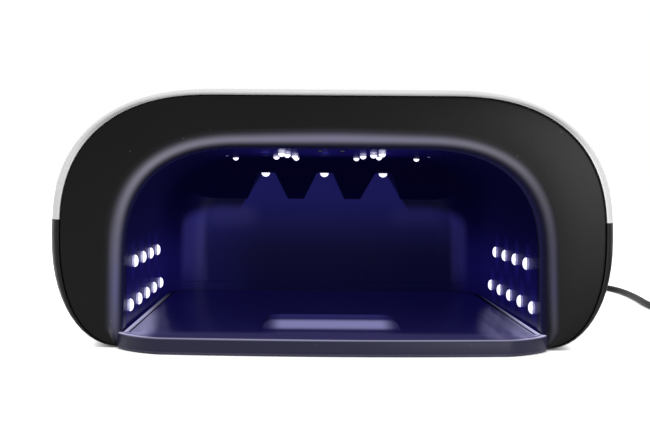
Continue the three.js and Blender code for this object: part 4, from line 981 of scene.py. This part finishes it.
def mouthOutline(halfWidth, outset, bottom, drop=0, steps=32):
    cornerX, cornerZ = mouth["corner"]
    upper = cornerArc((cornerX, cornerZ), (halfWidth - cornerX, mouth["top"] + outset - drop - cornerZ),
                      mouth["curve"], steps)
    return mirrored([(halfWidth, bottom)] + upper)


def reachOf(outline, angle):
    rayX, rayZ = math.cos(angle), math.sin(angle)
    for (ax, az), (bx, bz) in zip(outline, outline[1:] + outline[:1]):
        ex, ez = bx - ax, bz - az
        across = rayX * ez - rayZ * ex
        if not across:
            continue
        reach = (ax * ez - az * ex) / across
        share = (ax * rayZ - az * rayX) / across
        if reach > 0 and -1e-9 <= share <= 1 + 1e-9:
            return reach
    return None


def bezelSection(inner, outer):
    width = outer - inner
    lip = min(bezel["lip"], width * bezel["lipShare"])
    skin = min(bezel["wall"], width * bezel["wallShare"])
    edge = min(bezel["edge"], skin)
    back = bezel["depth"]
    points = [(inner, back)]
    points += [(inner + lip * (1 - cosine), lip * (1 - sine)) for cosine, sine in quarter(bezel["lipSteps"])]
    points.append((inner + lip + min(bezel["land"], width * bezel["landShare"]), 0))
    points += [(outer - edge * (1 - sine), edge * (1 - cosine))
               for cosine, sine in quarter(bezel["edgeSteps"])]
    points += [(outer, back), (outer - skin, back), (outer - skin, skin), (inner + lip, skin),
               (inner + skin, lip), (inner + skin, back)]
    return points


# Light that spills over the lip, by degrees round the mouth from left to right: its colour, and where its
# band lies on the lip's round and how wide it is, both in degrees
lipGlow = [
    (-90, (0.008, 0.008, 0.014), 52, 16),
    (-84, (0.08, 0.078, 0.13), 52, 16),
    (-75, (0.09, 0.088, 0.19), 52, 16),
    (-61, (0.122, 0.118, 0.165), 51, 18),
    (-45, (0.195, 0.188, 0.24), 58, 14),
    (-35, (0.18, 0.172, 0.225), 61, 14),
    (0, (0.175, 0.165, 0.25), 64, 14.6),
    (27, (0.16, 0.155, 0.215), 63, 14),
    (36, (0.155, 0.15, 0.19), 64, 13),
    (45, (0.135, 0.13, 0.165), 64, 13),
    (54, (0.085, 0.082, 0.105), 63, 13),
    (62, (0.058, 0.055, 0.085), 63, 13),
    (75, (0.048, 0.047, 0.094), 66, 10.5),
    (84, (0.047, 0.046, 0.062), 68, 9.5),
    (90, (0.008, 0.008, 0.012), 68, 9),
]
# Inside the band the painted spilled light takes a violet tint that fades out, further round and stronger
# towards the right
lipTint = {"end": 45, "endRight": 15, "rightAt": 50, "colour": (0.004, 0.004, 0.032),
           "right": (0.007, 0.006, 0.012), "softness": 1.4}


def spillAt(angle, turn):
    lean = 90 - math.degrees(angle)
    for (start, low, centre, width), (end, high, nextCentre, nextWidth) in zip(lipGlow, lipGlow[1:]):
        if lean <= end:
            break
    share = min(1, max(0, (lean - start) / (end - start)))
    middle = centre + (nextCentre - centre) * share
    spread = width + (nextWidth - width) * share
    level = math.exp(-((math.degrees(turn) - middle) / spread) ** 2 / lipTint["softness"])
    right = min(1, max(0, lean / lipTint["rightAt"]))
    violet = max(0, 1 - math.degrees(turn) / (lipTint["end"] + lipTint["endRight"] * right))
    tints = [a + b * right for a, b in zip(lipTint["colour"], lipTint["right"])]
    return [level * (a + (b - a) * share) + tint * violet for a, b, tint in zip(low, high, tints)]


def lipGlowAt(spot, normal):
    depth = spot.y - frontY
    if depth > bezel["lip"] or spot.z < 0:
        return (0, 0, 0)
    angle = math.atan2(spot.z, spot.x)
    inner = reachOf(mouthOutline(mouth["halfWidth"], 0, 0), angle)
    into = math.hypot(spot.x, spot.z) - inner
    if into > bezel["lip"] + 0.5 or normal.y > 0.2:
        return (0, 0, 0)
    return spillAt(angle, math.asin(min(1, max(0, 1 - depth / bezel["lip"]))))


def makeBezel():
    outer = [(x, z) for x, _, z in frontRing(0, bezel["inset"])]
    inner = mouthOutline(mouth["halfWidth"], 0, 0)
    lowest = housing["foot"] + bezel["inset"] + bezel["legTrim"]
    first = math.atan2(lowest, mouth["halfWidth"])
    rings = []
    for i in range(bezel["rays"] + 1):
        angle = first + (math.pi - 2 * first) * i / bezel["rays"]
        section = bezelSection(reachOf(inner, angle), reachOf(outer, angle))
        rings.append([(r * math.cos(angle), atDepth(depth), r * math.sin(angle)) for r, depth in section])
    piece = finish(loft(rings), "bezelFrame", bezelBlack, replaced=["front_bezel"], slot="bezel", sharp=40)
    paintGlow(piece, lipGlowAt)
    return piece


bezelFrame = makeBezel()
print("bezel is made")


# The liner: the mouth's outline run back, a sloping soffit and three flared light chutes

liner = {"wall": 1.6, "rear": 164, "corner": 22, "front": 12.3, "bottom": 10.3, "soffitStart": 126,
         "soffitLow": 53.7, "draft": 1.6, "drill": 4}
chute = {"spacing": 29.5, "top": 67.3, "topHalf": 4.15, "lowHalf": 10.6, "front": 138,
         "lampDepth": 147.5, "lampSpacing": 29.9, "lampShift": -0.25}
# The beads, side ones first. A hanging one has its radius, its extra length and where its light begins and is
# full, down from its board, and those furthest out are shorter.
bead = {"radius": 2.35, "out": 2.1, "gap": 0.3, "root": 0.4, "collar": 0.25, "cap": 1.45, "lean": 0.2,
        "ceiling": (1.45, 0.75, (3.4, 3.7)), "rear": (2.25, 0, (1.9, 2.5)), "ceilingGap": 0.25,
        "shy": 1.3, "shyFrom": 45, "sides": 24, "capSteps": 8}
# Plates: how far they reach to each side, or up, and where each starts and ends in depth
boards = {"thickness": 1.6, "edge": 0.2, "sideHeight": (10.6, 36), "sideRun": (14, 126), "ceilingHalf": 50,
          "ceilingRun": (14, 130), "rearHalf": 38, "rearRun": (141.5, 153.5)}
sensors = {"x": 4.5, "depth": 32, "hole": 1.8}


def linerForm(start, outset, bottom):
    rings = []
    bend = liner["rear"] - liner["corner"]
    depths = [start + (bend - start) * i / 5 for i in range(5)]
    depths += [bend + (liner["corner"] + outset) * sine for cosine, sine in quarter(12)]
    for depth in depths:
        half = mouth["halfWidth"] + outset - rollIn(depth, liner["corner"], -outset, liner["rear"])
        drop = liner["draft"] * max(0, depth - liner["front"]) / liner["rear"]
        rings.append([(x, atDepth(depth), z) for x, z in mouthOutline(half, outset, bottom, drop)])
    return solidFrom(loft(rings), "linerForm")


def soffitWedge(outset):
    slope = (mouth["top"] - liner["soffitLow"]) / (liner["rear"] - liner["soffitStart"])
    lift = outset * math.hypot(1, slope)
    end = liner["rear"] + liner["wall"] + over
    high = mouth["top"] + liner["wall"] + over
    start = atDepth(liner["soffitStart"])
    outline = [(start, mouth["top"] + lift),
               (atDepth(end), mouth["top"] + lift - slope * (end - liner["soffitStart"])),
               (atDepth(end), high), (start, high)]
    return solidFrom(alongX(outline, -far, far), "wedge")


def chuteForms(outset, end):
    slope = (chute["lowHalf"] - chute["topHalf"]) / (chute["top"] - liner["soffitLow"])
    widen = outset * math.hypot(1, slope)
    low = liner["soffitLow"] - liner["wall"]
    high = chute["top"] + outset

    def halfAt(z):
        return chute["topHalf"] + slope * (chute["top"] - z) + widen

    outline = [(halfAt(low), low), (halfAt(high), high), (-halfAt(high), high), (-halfAt(low), low)]
    return [solidFrom(alongY(shifted(outline, place * chute["spacing"], 0), atDepth(chute["front"]) - outset,
                             atDepth(end)), "chute") for place in (-1, 0, 1)]


def sideBeads():
    return [(start + i * beadSpacing, z) for start, z, count in beadRows for i in range(count)]


# Each pair of ceiling beads as shares of the board: across its half width and along its length
ceilingShares = [(0.4, 0.07), (0.36, 0.26), (0.3, 0.465), (0.47, 0.655), (0.29, 0.888), (0.92, 0.62),
                 (0.88, 0.93)]


def ceilingBeads():
    start, end = boards["ceilingRun"]
    return [(side * across * boards["ceilingHalf"], start + along * (end - start))
            for across, along in ceilingShares for side in (-1, 1)]


def rearBeads():
    return [(place * chute["lampSpacing"] + chute["lampShift"], chute["lampDepth"]) for place in (-1, 0, 1)]


def makeLiner():
    outer = combined(linerForm(liner["front"], liner["wall"], liner["bottom"]), [soffitWedge(liner["wall"])],
                     "DIFFERENCE")
    outer = combined(outer, chuteForms(liner["wall"], liner["rear"] + liner["wall"]), "UNION")
    inner = linerForm(liner["front"] - over, 0, liner["bottom"] - over)
    inner = combined(inner, [soffitWedge(0)], "DIFFERENCE")
    inner = combined(inner, chuteForms(0, liner["rear"]), "UNION")
    made = combined(outer, [inner, solidFrom(linerDrills())], "DIFFERENCE")
    return finish(meshOf(made), "lightLiner", linerBlack, replaced=["reflector"], slot="liner", sharp=28)


# A pin through the wall for each bead and each sensor
def linerDrills():
    drills = bmesh.new()
    deep = liner["drill"]
    hole = bead["radius"] + bead["gap"]
    for depth, z in sideBeads():
        for side in (-1, 1):
            start = side * (mouth["halfWidth"] - deep)
            addTo(drills, pin(start, atDepth(depth), z, (side, 0, 0), hole, 2 * deep))
    upward = [(x, depth, chute["top"], hole) for x, depth in rearBeads()]
    narrow = bead["ceiling"][0] + bead["ceilingGap"]
    upward += [(x, depth, mouth["top"], narrow) for x, depth in ceilingBeads()]
    upward += [(side * sensors["x"], sensors["depth"], mouth["top"], sensors["hole"]) for side in (-1, 1)]
    for x, depth, z, radius in upward:
        addTo(drills, pin(x, atDepth(depth), z - deep, (0, 0, 1), radius, 2 * deep))
    return drills


lightLiner = makeLiner()
print("liner is made")


# The lamp boards, each a plate and its domed beads

def dome(bm, x, y, z, direction, radius, length, collar=0):
    cap = bead["cap"] - collar if collar else radius
    profile = [(0, -bead["root"]), (radius, -bead["root"])]
    if collar:
        profile += [(radius, length - cap - collar - 0.1), (radius + collar, length - cap - collar)]
    rounded = quarter(bead["capSteps"])[:-1]
    profile += [(radius * cosine, length - cap + cap * sine) for cosine, sine in rounded]
    profile.append((0, length))
    return turned(profile, pointing(x, y, z, direction), bead["sides"], bm)


def boardPart(bm, name, part, material):
    return finish(bm, f"{name}Lamp{part}", material, replaced=[f"{name}_lamp_board"], slot="lamp_board")


def makeSideBoards():
    length = liner["wall"] + seatGap + bead["out"]
    face = mouth["halfWidth"] + liner["wall"] + seatGap
    run = [atDepth(depth) for depth in boards["sideRun"]]
    for name, side in (("left", -1), ("right", 1)):
        plate = box(span(side, face, face + boards["thickness"]), run, boards["sideHeight"])
        boardPart(softened(plate, boards["edge"]), name, "Plate", boardWhite)
        domes = bmesh.new()
        for depth, z in sideBeads():
            dome(domes, side * face, atDepth(depth), z, (-side, 0, 0), bead["radius"], length, bead["collar"])
        lit = length - bead["cap"]
        beads = boardPart(domes, name, "Beads", beadLight)
        paintTips(beads, 0, side * face, (lit - 0.09, lit - 0.01), sideBeads())


def makeHangingBoard(name, opening, places):
    radius, extra, lit = bead[name]
    z = opening + liner["wall"] + seatGap
    half = boards[f"{name}Half"]
    run = [atDepth(depth) for depth in boards[f"{name}Run"]]
    plate = box((-half, half), run, (z, z + boards["thickness"]))
    boardPart(softened(plate, boards["edge"]), name, "Plate", boardWhite)
    domes = bmesh.new()
    for x, depth in places:
        length = liner["wall"] + seatGap + bead["out"] + extra
        if abs(x) > bead["shyFrom"]:
            length -= bead["shy"]
        dome(domes, x, atDepth(depth), z, (0, 0, -1), radius, length)
    paintTips(boardPart(domes, name, "Beads", beadLight), 2, z, lit)


# A bead is dim where it leaves its wall and bright at its tip. A side bead's lit cap leans back.
def paintTips(piece, axis, plane, reach, leaning=()):
    start, end = reach

    def tipAt(spot, normal):
        away = abs(plane - spot[axis])
        if leaning:
            places = [(atDepth(depth), z) for depth, z in leaning]
            y = min(places, key=lambda place: math.dist(place, (spot.y, spot.z)))[0]
            away += min(0, spot.y - y) * bead["lean"]
        level = min(1, max(0, (away - start) / (end - start)))
        return (level, level, level)

    paintGlow(piece, tipAt)


makeSideBoards()
makeHangingBoard("ceiling", mouth["top"], ceilingBeads())
makeHangingBoard("rear", chute["top"], rearBeads())
print("lamp boards are made")


# The tray and its finger rest

tray = {"halfWidth": 79.4, "lift": 0.12, "top": 6, "nose": 19.5, "bow": 3, "noseHalf": 81, "corner": 18,
        "curve": 1.4, "noseEnd": 1.2, "noseStep": 0.8, "rear": 164, "rearRadius": 22, "rim": 2.5,
        "groove": 0.5, "panel": 1.5, "edge": 0.9, "lowEdge": 0.5, "line": 1.05}
# In the tray: each side's groove for its rail, and each magnet's pocket, as sides, run and height
railGroove = {"sides": (78.4, 81), "run": (19.5, 166), "height": (1.6, 3.5)}
magnetPocket = {"sides": (34.7, 45.3), "run": (160.7, 166), "height": (1.45, 3.65)}
rest = {"halfWidth": 27, "halfDepth": 20, "depth": 17, "rise": 2.9, "lift": 0.01, "thickness": 0.2,
        "sideShare": 0.12, "sideCurve": 0.8, "columns": 60, "rows": 40}


def trayPlan(inset):
    half = tray["halfWidth"]
    corner = tray["corner"]
    cornerX = tray["noseHalf"] - corner
    cornerLength = tray["nose"] - tray["bow"] - tray["noseEnd"]
    points = []
    for i in range(12):
        share = (i + 0.5) / 12
        points.append((cornerX * share, -tray["nose"] + inset + tray["bow"] * share * share))
    arc = cornerArc((cornerX, tray["noseEnd"]), (corner - inset, cornerLength - inset), tray["curve"], 14)
    points += [(x, -depth) for x, depth in reversed(arc)]
    points.append((half - inset, tray["noseStep"] - tray["noseEnd"]))
    radius = tray["rearRadius"]
    points += cornerArc((half - radius, tray["rear"] - radius), (radius - inset, radius - inset), 2, 14)
    return [(x, atDepth(depth)) for x, depth in mirrored(points)]


def makeTrayBody():
    low, high, line = tray["lowEdge"], tray["edge"], tray["line"]
    levels = [(low * (1 - sine), tray["lift"] + low * (1 - cosine)) for cosine, sine in quarter(3)]
    levels += [(0.04, line), (0.16, line + 0.08), (0.16, line + 0.2), (0, line + 0.3)]
    levels += [(high * (1 - cosine), tray["top"] - high * (1 - sine)) for cosine, sine in quarter(5)]
    rings = [[(x, y, z) for x, y in trayPlan(inset)] for inset, z in levels]
    base = combined(solidFrom(loft(rings), "tray"), trayCutters(), "DIFFERENCE")
    body = finish(meshOf(base), "trayBody", trayBlack, "tray", ["tray_base"], "tray", sharp=40)
    paintGlow(body, edgeGlowAt)


def trayCutters():
    floor = tray["top"] - tray["panel"] - seatGap
    cutters = [solidFrom(upright(trayPlan(tray["rim"]), floor, tray["top"] + over))]
    for side in (-1, 1):
        for pocket in (railGroove, magnetPocket):
            run = [atDepth(depth) for depth in pocket["run"]]
            cutters.append(solidFrom(box(span(side, *pocket["sides"]), run, pocket["height"])))
    radius = feet["trayRadius"] + feet["gap"]
    for depth in feet["trayDepths"]:
        for x in (-feet["trayX"], feet["trayX"]):
            cutters.append(solidFrom(post(x, atDepth(depth), radius, -over, feet["trayRecess"])))
    return cutters


def makeTrayPanel():
    top, edge = tray["top"], tray["rim"] + tray["groove"]
    levels = ((0, top - tray["panel"]), (0, top - 0.25), (0.08, top - 0.08), (0.25, top))
    panel = loft([[(x, y, z) for x, y in trayPlan(edge + inset)] for inset, z in levels])
    addTo(panel, fingerRest())
    piece = finish(panel, "trayTop", panelBlack, "tray", ["tray_panel"], "tray", sharp=40)
    paintGlow(piece, restGlowAt)


pocketEdge = trayPlan(tray["rim"])
# Painted light on the tray's front: the low line's painted reflection and the upper edge's painted highlight
frontLight = {"line": (0.02, 0.02, 0.024), "edge": (0.3, 0.29, 0.42), "peak": 0.95, "spread": 0.4}


# The front's rounded upper edge catches the beads' light, painted on as a highlight, and a fine line of
# painted reflection of the floor shows low on its face
def edgeGlowAt(spot, normal):
    slack = 0.1
    if spot.y > frontY or spot.z > tray["top"] + slack:
        return (0, 0, 0)
    if spot.z < tray["line"] + slack:
        return frontLight["line"] if spot.z > tray["lift"] + slack else (0, 0, 0)
    rise = (spot.z - tray["top"] + tray["edge"]) / tray["edge"]
    if rise < 0 or min(math.dist(spot.xy, place) for place in pocketEdge) < slack:
        return (0, 0, 0)
    level = max(0, 1 - abs(rise - frontLight["peak"]) / frontLight["spread"])
    return scaled(frontLight["edge"], level)


# Light on the finger rest: bright on its front slope, faint on its top and at its two ends. Places along it
# are shares of its depth, and each has its reach.
restLight = {"side": 19, "sideReach": 3.8, "slope": (0.405, 0.135), "top": (0.8, 0.22), "end": (26, 0.8),
             "endAlong": (0.46, 0.1), "faint": 0.15, "bright": (0.2, 0.195, 0.36), "violet": (0.1, 0.09, 0.4)}


def restGlowAt(spot, normal):
    if spot.z < tray["top"] + 0.1 or normal.z < 0.3:
        return (0, 0, 0)
    light = restLight

    def fall(value, name, power):
        middle, reach = light[name]
        return ((value - middle) / reach) ** power

    along = (spot.y - atDepth(rest["depth"])) / rest["halfDepth"] / 2 + 0.5
    side = (max(0, abs(spot.x) - light["side"]) / light["sideReach"]) ** 2
    slope = math.exp(-fall(along, "slope", 4) - side)
    top = math.exp(-fall(along, "top", 4) - side)
    end = math.exp(-fall(abs(spot.x), "end", 2) - fall(along, "endAlong", 2))
    faint = (top + end) * light["faint"]
    return [a * slope + b * faint for a, b in zip(light["bright"], light["violet"])]


# The rest's section: shares of its depth, front to back, and the share of its rise at each
restProfile = [(0, 0), (0.1, 0.02), (0.2, 0.06), (0.27, 0.15), (0.34, 0.34), (0.41, 0.56), (0.48, 0.78),
               (0.53, 0.9), (0.58, 0.97), (0.66, 1), (0.93, 1), (0.96, 0.9), (0.985, 0.5), (1, 0)]


def restHeight(across, along):
    for (start, low), (end, high) in zip(restProfile, restProfile[1:]):
        if along <= end:
            break
    level = low + (high - low) * (along - start) / (end - start)
    side = 1 - max(0, abs(across) - (1 - rest["sideShare"])) / rest["sideShare"]
    return level * math.sin(math.pi / 2 * max(0, side)) ** rest["sideCurve"]


def fingerRest():
    columns, rows = rest["columns"], rest["rows"]
    bm = bmesh.new()
    grid = []
    for j in range(rows + 1):
        along = j / rows
        line = []
        for i in range(columns + 1):
            across = i / columns * 2 - 1
            x = across * rest["halfWidth"]
            y = atDepth(rest["depth"] + (along * 2 - 1) * rest["halfDepth"])
            z = tray["top"] + rest["lift"] + rest["rise"] * restHeight(across, along)
            line.append(bm.verts.new((x, y, z)))
        grid.append(line)
    for lower, upper in zip(grid, grid[1:]):
        for i in range(columns):
            bm.faces.new((lower[i], lower[i + 1], upper[i + 1], upper[i]))
    bmesh.ops.solidify(bm, geom=bm.faces[:], thickness=rest["thickness"])
    return bm


makeTrayBody()
makeTrayPanel()
print("tray is made")


# Keys, their marks, the pane and the digits under it

def makeKeys():
    top = housing["height"] + keys["proud"]
    y = atDepth(keys["depth"])
    levels = [(0, keys["bottom"])] + [(inset, top - below) for inset, below in keys["edge"]]
    for i, x in enumerate(keys["xs"]):
        rings = stacked((keys["width"], keys["length"], keys["corner"]), (x, y), levels)
        finish(loft(rings), f"keyTop{i + 1}", keyGrey, f"key_{i + 1}", [f"keycap_{i + 1}"], "keycap")
        makeMark(keys["marks"][i], f"keyMark{i + 1}", (x, y, top), f"key_{i + 1}")


def makeMark(words, name, where, body):
    data = bpy.data.curves.new(name, "FONT")
    data.body = words
    data.size = keys["markSize"]
    data.extrude = 0.03
    data.align_x = data.align_y = "CENTER"
    text = newObject(name, data)
    bpy.context.view_layer.update()
    mesh = bpy.data.meshes.new_from_object(text.evaluated_get(bpy.context.evaluated_depsgraph_get()))
    bpy.data.objects.remove(text)
    mesh.transform(Matrix.Translation(where))
    bm = bmesh.new()
    bm.from_mesh(mesh)
    return finish(bm, name, markDark, body, slot="keycap")


def makePane():
    top = housing["height"] - pane["sink"]
    levels = ((0, top - pane["thickness"]), (0, top - 0.3), (0.1, top - 0.1), (0.3, top))
    rings = stacked((pane["width"], pane["length"], pane["corner"]), (0, atDepth(pane["depth"])), levels)
    finish(loft(rings), "displayPane", paneBlack, replaced=["display_window"], slot="window")


# Two digits, a 6 and a 0, of seven bars each. The bars are named round from the top one, with the middle one
# last, and have a length, a thickness and a gap at their ends. The digits stand apart from the middle.
digits = {"lit": ("acdefg", "abcdef"), "long": 3.6, "thick": 0.62, "gap": 0.12, "apart": 3.4,
          "lift": 0.005, "height": 0.03}


def makeDigits():
    bm = bmesh.new()
    z = housing["height"] - pane["sink"] + digits["lift"]
    y = atDepth(pane["depth"])
    side, half = digits["long"] / 2, digits["thick"] / 2
    reach = side - digits["gap"]
    places = {"a": (0, 2 * side), "b": (side, side), "c": (side, -side), "d": (0, -2 * side),
              "e": (-side, -side), "f": (-side, side), "g": (0, 0)}
    for bars, middle in zip(digits["lit"], (-digits["apart"], digits["apart"])):
        for bar in bars:
            dx, dy = places[bar]
            shape = [(-reach, 0), (-reach + half, half), (reach - half, half), (reach, 0),
                     (reach - half, -half), (-reach + half, -half)]
            if dx:
                shape = [(v, u) for u, v in shape]
            addTo(bm, upright(shifted(shape, middle + dx, y + dy), z, z + digits["height"]))
    finish(bm, "displayDigits", digitLight, slot="window")


makeKeys()
makePane()
makeDigits()
print("controls are made")


# CAD pieces that keep their shape get a finish of their own

finishOf = {
    "dc_jack": darkPart, "plug_barrel": nickel, "control_board": boardGreen, "display_module": darkPart,
    "sensor_emitter": paneBlack, "sensor_receiver": paneBlack,
}
for side in ("left", "right"):
    for kind in ("housing_magnet", "tray_magnet", "adapter_blade"):
        finishOf[f"{kind}_{side}"] = nickel
    for kind in ("rear_foot", "cheek_foot"):
        finishOf[f"{kind}_{side}"] = rubber
for end in ("power", "ceiling", "rear", "left", "right"):
    finishOf[f"wire_{end}"] = wireRed
for number in range(1, 5):
    finishOf[f"tact_switch_{number}"] = darkPart
    finishOf[f"board_screw_{number}"] = steel
    finishOf[f"tray_foot_{number}"] = rubber
for corner in ("front_left", "front_right", "rear_left", "rear_right"):
    finishOf[f"housing_screw_{corner}"] = steel
for name, material in finishOf.items():
    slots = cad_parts[name].data.materials
    slots.clear()
    slots.append(material)
print("carried pieces are finished")


# Floor, world and lamps

# The floor's and the world's brightness, what the floor gives off, and how far its contact shade reaches
studio = {"floor": 0.8, "world": 0.6, "floorGlow": 0.83, "contact": 0.003}


# What the camera sees, directly or in a glossy or clear surface
def seenMask(tree):
    path = addNode(tree, "ShaderNodeLightPath").outputs
    mirroredOrDirect = maths("MAXIMUM", path["Is Camera Ray"], path["Is Glossy Ray"])
    return maths("MAXIMUM", mirroredOrDirect, path["Is Transmission Ray"])


def makeFloor():
    bm = bmesh.new()
    bmesh.ops.create_grid(bm, x_segments=8, y_segments=8, size=6)
    mesh = bpy.data.meshes.new("studioFloor")
    bm.to_mesh(mesh)
    bm.free()
    newObject("studioFloor", mesh)
    material, tree, shader = newMaterial("paleFloor")
    fill(shader["Base Color"], (studio["floor"],) * 3)
    fill(shader["Roughness"], 0.9)
    fill(shader["Specular IOR Level"], 0)
    near = addNode(tree, "ShaderNodeAmbientOcclusion", Distance=studio["contact"])
    clear = mixColours(near.outputs["AO"], (0, 0, 0), (studio["floorGlow"],) * 3)
    fill(shader["Emission Color"], mixColours(seenMask(tree), (0, 0, 0), clear))
    fill(shader["Emission Strength"], 1)
    mesh.materials.append(material)


def makeWorld():
    world = bpy.data.worlds.new("studioWorld")
    world.use_nodes = True
    background = world.node_tree.nodes["Background"].inputs
    fill(background["Color"], mixColours(seenMask(world.node_tree), (studio["world"],) * 3, (1, 1, 1)))
    fill(background["Strength"], 1)
    bpy.context.scene.world = world


# Each lamp: name, place, target, width and depth in metres, watts
lamps = [
    ("overheadSoftbox", (-0.1, 0.1, 1.5), (0, 0, 0), (1.4, 1.2), 6.4),
    ("rightSoftbox", (0.76, -1.4, 0.08), (0.05, 0, 0.05), (0.8, 0.8), 18),
    ("leftSoftbox", (-1.4, 0.15, 0.6), (0, 0, 0.05), (0.8, 0.8), 3.4),
]


def makeLamps():
    for name, spot, target, size, power in lamps:
        data = bpy.data.lights.new(name, "AREA")
        data.shape = "RECTANGLE"
        data.size, data.size_y = size
        data.energy = power
        lamp = newObject(name, data)
        lamp.location = spot
        lamp.rotation_euler = (Vector(target) - Vector(spot)).to_track_quat("-Z", "Y").to_euler()


makeFloor()
makeWorld()
makeLamps()
print("studio is set")
